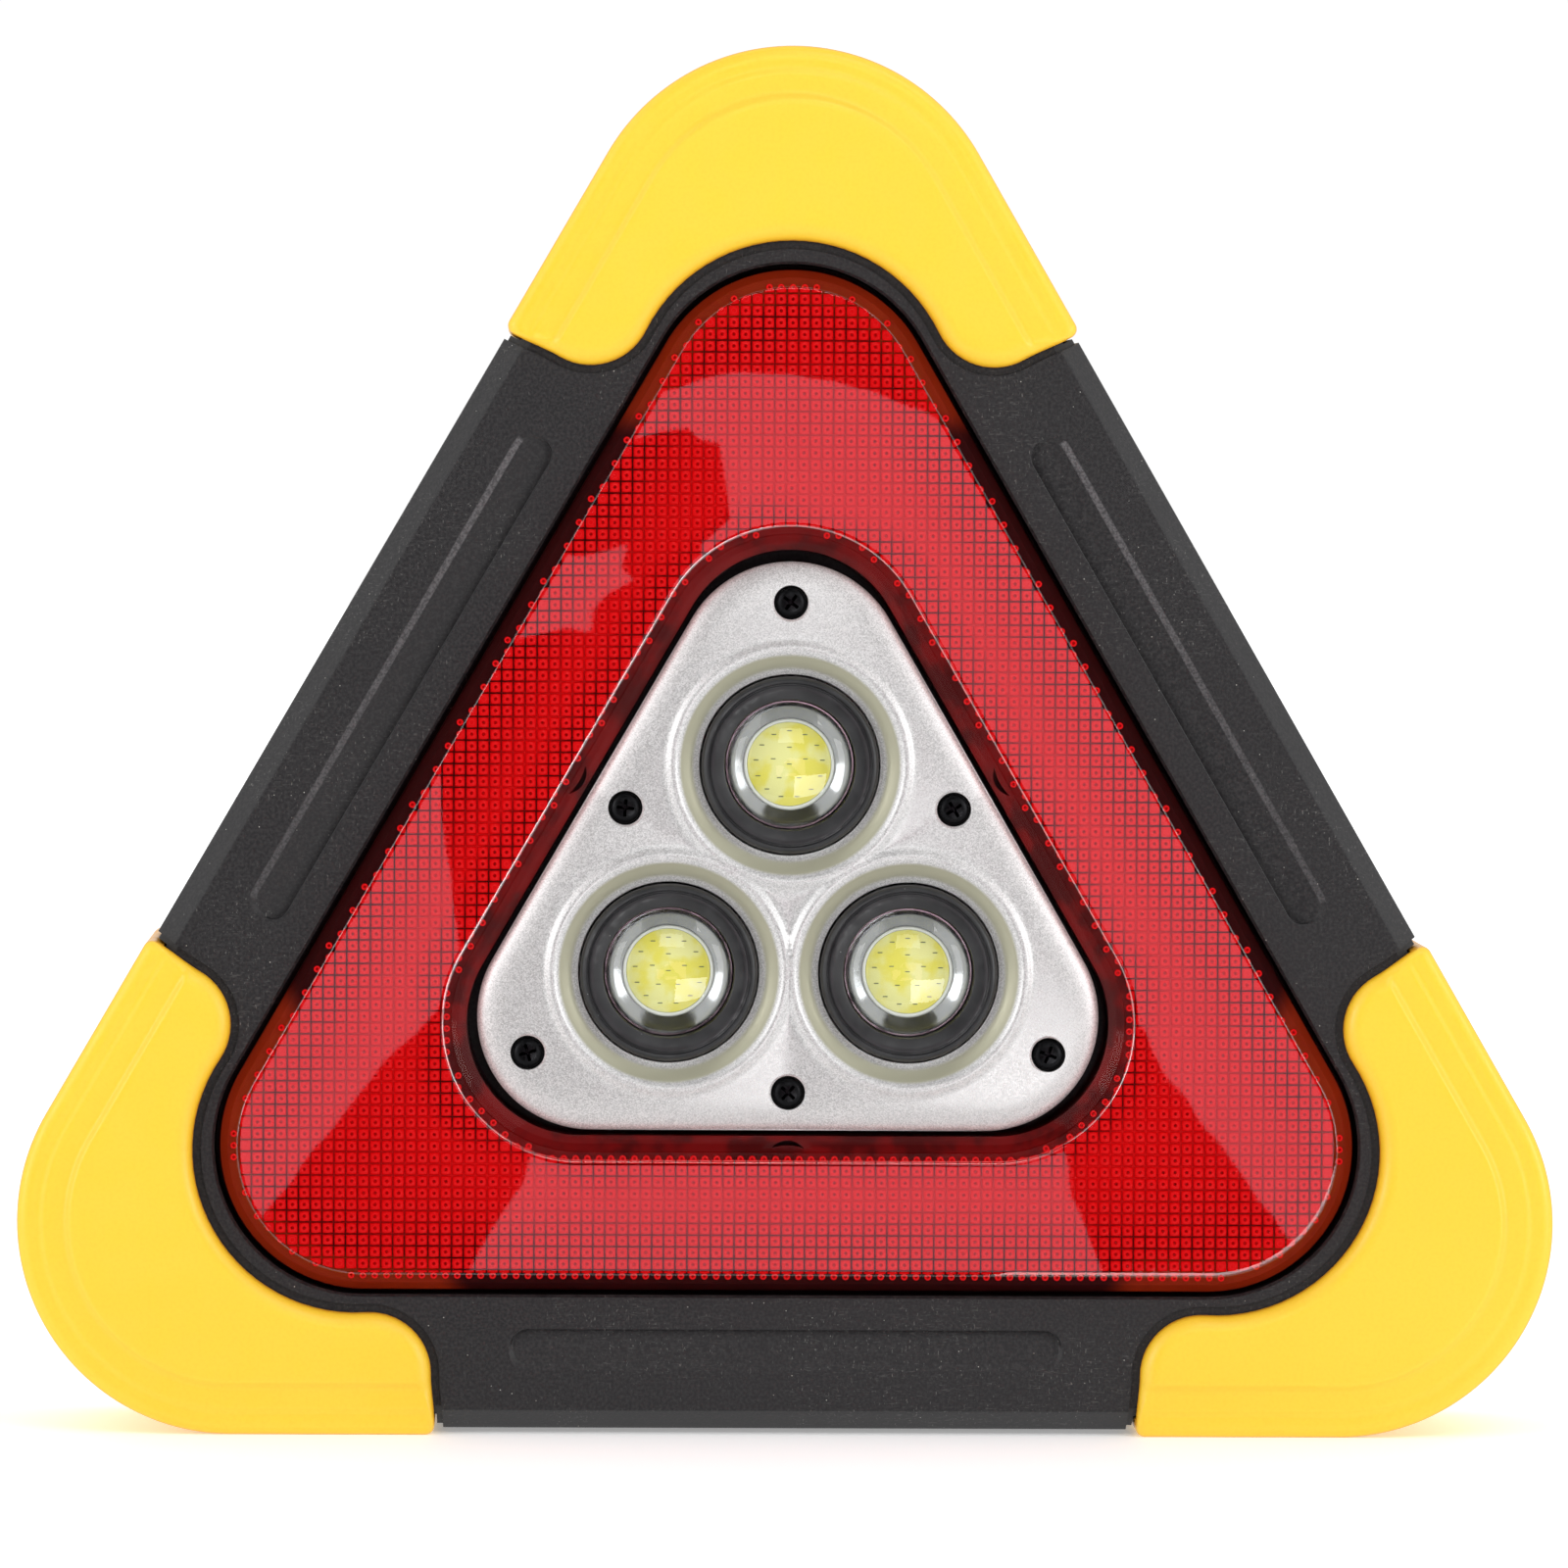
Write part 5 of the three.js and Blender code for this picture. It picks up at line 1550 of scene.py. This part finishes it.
def battery_door():
    """Cover with a rounded rim, a finger hold and three grooves below it."""
    low, high = box_mm("battery_door")
    centre = (0, (low[2] + high[2]) / 2 - CENTRE_HEIGHT)
    width, tall = high[0] - low[0], high[2] - low[2]
    top = high[1]
    sections = [(-0.3, low[1]), (0, low[1] + 0.3), (0, top - 0.35), (-0.1, top - 0.1), (-0.35, top)]
    door = rounded_block("door", width, tall, 1.5, centre, sections)
    hold = (0, high[2] - 4 - CENTRE_HEIGHT)
    sections = ((0.3, top + 1), (0.3, top + 0.01), (0, top - 0.25), (-0.7, top - 0.8))
    tools = [rounded_block("scoop", 14, 4, 1.9, hold, sections)]
    sections = ((0.14, top + 1), (0.14, top + 0.01), (-0.14, top - 0.35))
    for k in range(3):
        line = (0, hold[1] - 4.6 - 1.8 * k)
        tools.append(rounded_block("groove", 18 - 3 * k, 0.8, 0.39, line, sections, 4))
    door = flatten_shading(cut(door, *tools))
    finish_piece(door, "battery_door", "black_plastic", BLACK, "battery_door")


def mode_button():
    """Rubber cap with a dished top and a raised ring."""
    low, high = box_mm("mode_button")
    top, base = high[1], low[1]
    radius = BUTTON_RADIUS
    profile = [
        (0, base), (8.2, base), (8.4, base + 0.2), (8.4, base + 0.8), (8.2, base + 1), (radius, base + 1),
        (radius, top - 0.75), (radius - 0.12, top - 0.3), (radius - 0.45, top - 0.06), (radius - 0.9, top),
        (radius - 1.4, top - 0.03), (4.6, top - 0.3), (3.9, top - 0.34), (3.6, top - 0.16), (3.3, top - 0.12),
        (3.0, top - 0.16), (2.7, top - 0.36), (0, top - 0.46),
    ]
    cap = lathe("button_cap", profile, BUTTON, 96, 30)
    finish_piece(cap, "mode_button", "black_rubber", RUBBER, "mode_button")


def port():
    """Rubber flap with its pull tab, over a plated socket with its tongue."""
    low, high = box_mm("usb_flap")
    top = COVER_BACK + 0.3
    width, tall = high[0] - low[0], high[2] - low[2]
    sections = ((-0.15, low[1]), (0, low[1] + 0.15), (0, top - 0.3), (-0.3, top))
    flap = rounded_block("port_flap", width, tall, 1.3, PORT, sections)
    sections = ((0, top - 0.6), (0, high[1] - 0.2), (-0.2, high[1]))
    tab = rounded_block("tab", 5, 1.6, 0.7, PORT + (0, tall / 2 - 1), sections)
    sections = ((0.1, top + 1), (0.1, top + 0.01), (-0.05, top - 0.25))
    groove = rounded_block("groove", 9, 0.5, 0.24, PORT - (0, 1.2), sections, 3)
    flap = cut(join(flap, tab), groove)
    finish_piece(flatten_shading(flap), "usb_flap", "black_rubber", RUBBER, "usb_flap")

    low, high = box_mm("usb_socket")
    place = middle("usb_socket")
    width, tall = high[0] - low[0], high[2] - low[2]
    shell = extrude("port_shell", rounded_box(width, tall, tall / 2 - 0.05, place, 10), low[1], high[1])
    hole = rounded_box(width - 0.7, tall - 0.7, tall / 2 - 0.4, place, 10)
    shell = flatten_shading(cut(shell, extrude("hole", hole, low[1] + 1, FAR)))
    finish_piece(shell, "housing", "plated_steel", STEEL, "usb_socket")
    tongue = extrude("port_tongue", rounded_box(width - 2.6, 0.7, 0.2, place), low[1] + 1, high[1] - 0.8)
    finish_piece(tongue, "housing", "black_plastic", CONTACT)


# ------------------------------------------------------------------ folding stand

NECK_DEEP = 3.2  # the flat neck of the bow that the grip slides over
NECK_TALL = 6.8


def stand():
    """The bow: a flat bar bent round at its lower corners, with a rounded eye on each arm."""
    low, high = box_mm("stand_handle")
    arm = 6.0
    outer = high[0]
    front_depth, back_depth = PIVOT_DEPTH - 2.8, PIVOT_DEPTH + 2.8
    bottom = low[2] - CENTRE_HEIGHT
    bar_top = bottom + 10
    axis = PIVOT_HEIGHT - CENTRE_HEIGHT
    outer_bend, inner_bend = 9.0, 4.0
    half = arc((outer - outer_bend, bottom + outer_bend), outer_bend, -90, 0, 16)
    half += [np.array([outer, axis]), np.array([outer - arm, axis])]
    half += arc((outer - arm - inner_bend, bar_top + inner_bend), inner_bend, 0, -90, 10)
    half = np.array(half)
    outline = np.concatenate([half, half[::-1] * (-1, 1)])
    sections = [
        (-1.0, front_depth), (-0.3, front_depth + 0.3), (0, front_depth + 1.0),
        (0, back_depth - 1.0), (-0.3, back_depth - 0.3), (-1.0, back_depth),
    ]
    bow = loft("stand_bow", [at_depth(grown(outline, grow), depth) for grow, depth in sections])
    eyes = []
    for side in (-1, 1):
        left, right = sorted((side * outer, side * (outer - arm)))
        eyes.append(rod("eye", left, right, LUG_RADIUS, 0.5))
    bow = cut(join(bow, *eyes), pin_bore(-outer - 1, outer + 1))
    grip_low, grip_high = box_mm("handle_grip")
    half = grip_high[0]
    bow = cut(bow, block("seat", (-half - GAP, half + GAP), (0, FAR), (0, grip_high[2] + 4)))
    grip_height = (grip_low[2] + grip_high[2]) / 2
    depths = (PIVOT_DEPTH - NECK_DEEP / 2, PIVOT_DEPTH + NECK_DEEP / 2)
    heights = (grip_height - NECK_TALL / 2, grip_height + NECK_TALL / 2)
    neck = block("neck", (-half - 1, half + 1), depths, heights)
    bow = flatten_shading(join(bow, neck))
    finish_piece(bow, "stand", "black_plastic", BLACK, "stand_handle")
    grip()
    pins()


def grown(outline, amount):
    """Moves each point of an outline along its outward normal."""
    ahead, behind = np.roll(outline, -1, axis=0), np.roll(outline, 1, axis=0)
    first, second = outline - behind, ahead - outline
    first /= np.maximum(np.linalg.norm(first, axis=1), 1e-9)[:, None]
    second /= np.maximum(np.linalg.norm(second, axis=1), 1e-9)[:, None]
    tangent = first + second
    tangent /= np.linalg.norm(tangent, axis=1)[:, None]
    normal = np.column_stack([tangent[:, 1], -tangent[:, 0]])
    turn = np.clip(np.sum(tangent * second, axis=1), 0.5, 1)
    return outline + normal * (amount / turn)[:, None]


def grip():
    """Rubber sleeve with a rib every few millimetres and a smooth collar at each end."""
    low, high = box_mm("handle_grip")
    centre = ((low[1] + high[1]) / 2, (low[2] + high[2]) / 2 - CENTRE_HEIGHT)
    deep, tall = high[1] - low[1], high[2] - low[2]
    xs, grows = [low[0], low[0] + 0.5, low[0] + 3.0, low[0] + 3.2], [-0.5, 0.0, 0.0, -0.45]
    pitch = 2.4
    x = low[0] + 4.0
    while x + pitch < high[0] - 3.4:
        xs += [x, x + 0.3, x + 1.3, x + 1.6]
        grows += [-0.45, -0.02, -0.02, -0.45]
        x += pitch
    xs += [high[0] - 3.2, high[0] - 3.0, high[0] - 0.5, high[0]]
    grows += [-0.45, 0.0, 0.0, -0.5]
    rings = [at_x(rounded_box(deep + 2 * g, tall + 2 * g, 2.4, centre), x) for x, g in zip(xs, grows)]
    sleeve = loft("stand_grip", rings, smooth_angle=45)
    hole = rounded_box(NECK_DEEP + 2 * GAP, NECK_TALL + 2 * GAP, 0.4, centre)
    bore = loft("bore", [at_x(hole, x) for x in (low[0] - 1, high[0] + 1)])
    finish_piece(cut(sleeve, bore), "stand", "black_rubber", RUBBER, "handle_grip")


def pins():
    """Steel pins with chamfered ends."""
    for side in ("left", "right"):
        low, high = box_mm(f"pivot_pin_{side}")
        pin = rod(f"stand_pin_{side}", low[0], high[0], PIN_RADIUS, 0.3, 32)
        finish_piece(pin, "housing", "plated_steel", STEEL, f"pivot_pin_{side}")


# ------------------------------------------------------------------ CAD pieces that stay

def dress_cad_pieces():
    """The boards, leads and switch inside keep their CAD shapes and get their own materials."""
    looks = {
        "led_board": BOARD,
        "warning_board": BOARD,
        "driver_board": CIRCUIT,
        "tact_switch": STEEL,
        "battery_lead_positive": RED_WIRE,
        "battery_lead_negative": BLACK_WIRE,
        "led_lead": BLACK_WIRE,
        "warning_lead": BLACK_WIRE,
    }
    looks.update({f"warning_led_{i}": PHOSPHOR for i in range(1, 10)})
    for node, look in looks.items():
        mesh = frame["nodes"][node].data
        mesh.materials.clear()
        mesh.materials.append(look)


# ------------------------------------------------------------------ studio

CAMERA_DISTANCE = 1.15
CAMERA_LEFT = 1.7  # degrees to the left of straight ahead
CAMERA_UP = 2.2  # degrees above level
CAMERA_ROLL = 0.37
AIM = Vector((-0.0002, 0, 0.0843))
VIEW_WIDTH = 0.2070  # what the frame takes in at the aim


def camera():
    """The photograph's viewpoint: far off, a little to the left and above."""
    left, up = math.radians(CAMERA_LEFT), math.radians(CAMERA_UP)
    direction = Vector((-math.sin(left) * math.cos(up), -math.cos(left) * math.cos(up), math.sin(up)))
    data = bpy.data.cameras.new("camera")
    data.sensor_width = 36
    data.lens = data.sensor_width * CAMERA_DISTANCE / VIEW_WIDTH
    data.clip_start = 0.01
    item = add_object("camera", data)
    item.location = AIM + direction * CAMERA_DISTANCE
    item.rotation_euler = direction.to_track_quat("Z", "Y").to_euler()
    item.rotation_euler.rotate_axis("Z", math.radians(CAMERA_ROLL))
    bpy.context.scene.camera = item
    return item


def area_light(name, place, aim, size, power):
    """A soft light of a size in metres and a power in watts."""
    data = bpy.data.lights.new(name, "AREA")
    data.shape = "RECTANGLE"
    data.size, data.size_y = size
    data.energy = power
    item = add_object(name, data)
    item.location = place
    item.rotation_euler = (Vector(aim) - Vector(place)).to_track_quat("-Z", "Y").to_euler()
    item.visible_camera = False
    return item


def emitter(name, colour, strength):
    """A plain glowing material for a studio card."""
    material = bpy.data.materials.new(name)
    material.use_nodes = True
    tree = material.node_tree
    tree.nodes.clear()
    glow = tree.nodes.new("ShaderNodeEmission")
    glow.inputs["Color"].default_value = colour
    glow.inputs["Strength"].default_value = strength
    output = tree.nodes.new("ShaderNodeOutputMaterial")
    tree.links.new(glow.outputs[0], output.inputs["Surface"])
    return material


def card(name, corners, material, only_mirrored=True):
    """A flat studio card that the camera never sees. Its corners are in metres."""
    item = mesh_object(name, corners, [tuple(range(len(corners)))])
    item.data.materials.append(material)
    item.visible_camera = False
    if only_mirrored:
        for ray in ("visible_diffuse", "visible_shadow", "visible_transmission"):
            setattr(item, ray, False)
    return item


def upright(left, right, bottom, top, y):
    """The corners of an upright rectangle that faces the part."""
    return [(left, y, bottom), (right, y, bottom), (right, y, top), (left, y, top)]


def seen_in_lens(points, eye, distance):
    """Where a card must be, on a plane in front of the part, to be mirrored at these places of the
    lens face. The places are (across, up) in millimetres."""
    mirror = LENS_FACE * MM
    image = Vector((eye.x, 2 * mirror - eye.y, eye.z))
    corners = []
    for across, up in points:
        place = Vector((across * MM, mirror, (CENTRE_HEIGHT + up) * MM))
        share = (-distance - image.y) / (place.y - image.y)
        corners.append(image + (place - image) * share)
    return corners


CARD_DISTANCE = 1.3  # in front of the part, a little beyond the camera
GLARES = {  # where each pale glare lies on the lens face, as given places
    "glare_right": [
        (-40, 56), (-20, 60.2), (-17.5, 61), (-13.5, 61.8), (-12.2, 60.3), (-9.3, 59.8), (-8.6, 55),
        (-7.7, 50), (-9.2, 48.4), (-11.6, 46.5), (-11.5, 43), (0, 30), (30, -8), (45.9, -16.1),
        (48.6, -22), (52.1, -26.2), (56.6, -31.7), (60.8, -37.3), (63.6, -41.1), (68, -48),
        (100, -48), (95, 64), (18.6, 63.3), (14, 65.4), (9.9, 66.7), (4.8, 67.9), (-0.3, 68.7),
        (-5.4, 68.7), (-10.6, 68.2), (-15.7, 66.4), (-30, 62),
    ],
    "glare_patch": [
        (-27.4, 44.7), (-21.8, 46.4), (-22.5, 43.6), (-20.5, 41.7), (-23.9, 40.3), (-25.7, 37.8),
        (-25.9, 35.5), (-29, 35.7), (-32.6, 35), (-45, 32), (-42, 48),
    ],
    "glare_left": [
        (-45.3, 16.5), (-44.7, 10), (-43.3, -1), (-43, -9), (-45.5, -14), (-52.5, -20.5), (-58, -28),
        (-69.5, -43), (-74, -50), (-95, -50), (-95, 16.5),
    ],
    "glare_bottom": [
        (-33, -32), (-34.5, -36), (-37, -40), (-40.2, -45.5), (-43, -50), (41.6, -50), (39.3, -43.2),
        (37.1, -37.9), (36, -32),
    ],
}


def studio(eye):
    """White surroundings and soft lights at both sides. A black flag stands behind the camera and
    another overhead, and white cards in front of the first give the lens its pale glare."""
    sky = bpy.data.worlds.new("world")
    bpy.context.scene.world = sky
    sky.use_nodes = True
    background = sky.node_tree.nodes["Background"]
    background.inputs["Color"].default_value = (1, 1, 1, 1)
    background.inputs["Strength"].default_value = 1.02
    aim = (0, 0, 0.07)
    area_light("left_light", (-0.98, -0.7, 0.32), aim, (0.4, 0.6), 2.3)
    area_light("right_light", (0.98, -0.7, 0.25), aim, (0.4, 0.6), 2.4)
    area_light("top_light", (0.35, -0.9, 1.0), aim, (0.6, 0.4), 2.0)
    black = emitter("card_black", (0, 0, 0, 1), 0)
    grey = emitter("card_grey", (1, 1, 1, 1), 0.75)
    white = emitter("card_white", (1.0, 0.66, 0.78, 1), 2.3)
    card("front_flag", upright(-0.75, 0.75, -0.5, 0.9, -1.36), black, only_mirrored=False)
    near, far, reach = (-0.2, 1.1), (-1.1, 0.75), 0.55  # (y, z) of both edges, and half the width
    for name, way, tone in (("top_flag", 1, black), ("low_flag", -1, grey)):
        ends = ((near[0], way * near[1]), (far[0], way * far[1]))
        sheet = [(-reach, *ends[0]), (reach, *ends[0]), (reach, *ends[1]), (-reach, *ends[1])]
        card(name, sheet, tone)
    windows = {  # left, right, bottom, top and brightness
        "window_low": (0.1, 0.7, -0.5, -0.1, 8.0),
        "window_top": (-0.15, 0.25, 0.38, 0.7, 3.4),
    }
    for name, (*limits, glow) in windows.items():
        card(name, upright(*limits, -CARD_DISTANCE), emitter(name, (1, 1, 1, 1), glow))
    for name, outline in GLARES.items():
        card(name, seen_in_lens(outline, eye, CARD_DISTANCE), white)
    floor()


def floor():
    """A pale floor, lit to white."""
    surface = Surface("studio_floor", Roughness=0.6, Emission_Strength=0.3)
    surface.shader.inputs["Emission Color"].default_value = (1, 1, 1, 1)
    pale = surface.mix(surface.noise(60), (0.93, 0.93, 0.93, 1), (0.95, 0.95, 0.95, 1))
    surface.put("Base Color", pale)
    half = 6.0
    corners = [(-half, -half, 0), (half, -half, 0), (half, half, 0), (-half, half, 0)]
    item = mesh_object("floor", corners, [(0, 1, 2, 3)])
    item.data.materials.append(surface.material)
    item.visible_glossy = False


# ------------------------------------------------------------------ everything

viewpoint = camera()
studio(viewpoint.location)
bpy.context.scene.view_settings.view_transform = "Standard"

corner_guards()
front_shell()
rear_shell()
lens_skin()
lens_core()
lens_prisms()
centre_plate()
lamps()
screws()
battery()
terminals()
battery_door()
mode_button()
port()
stand()
dress_cad_pieces()

bpy.context.view_layer.update()
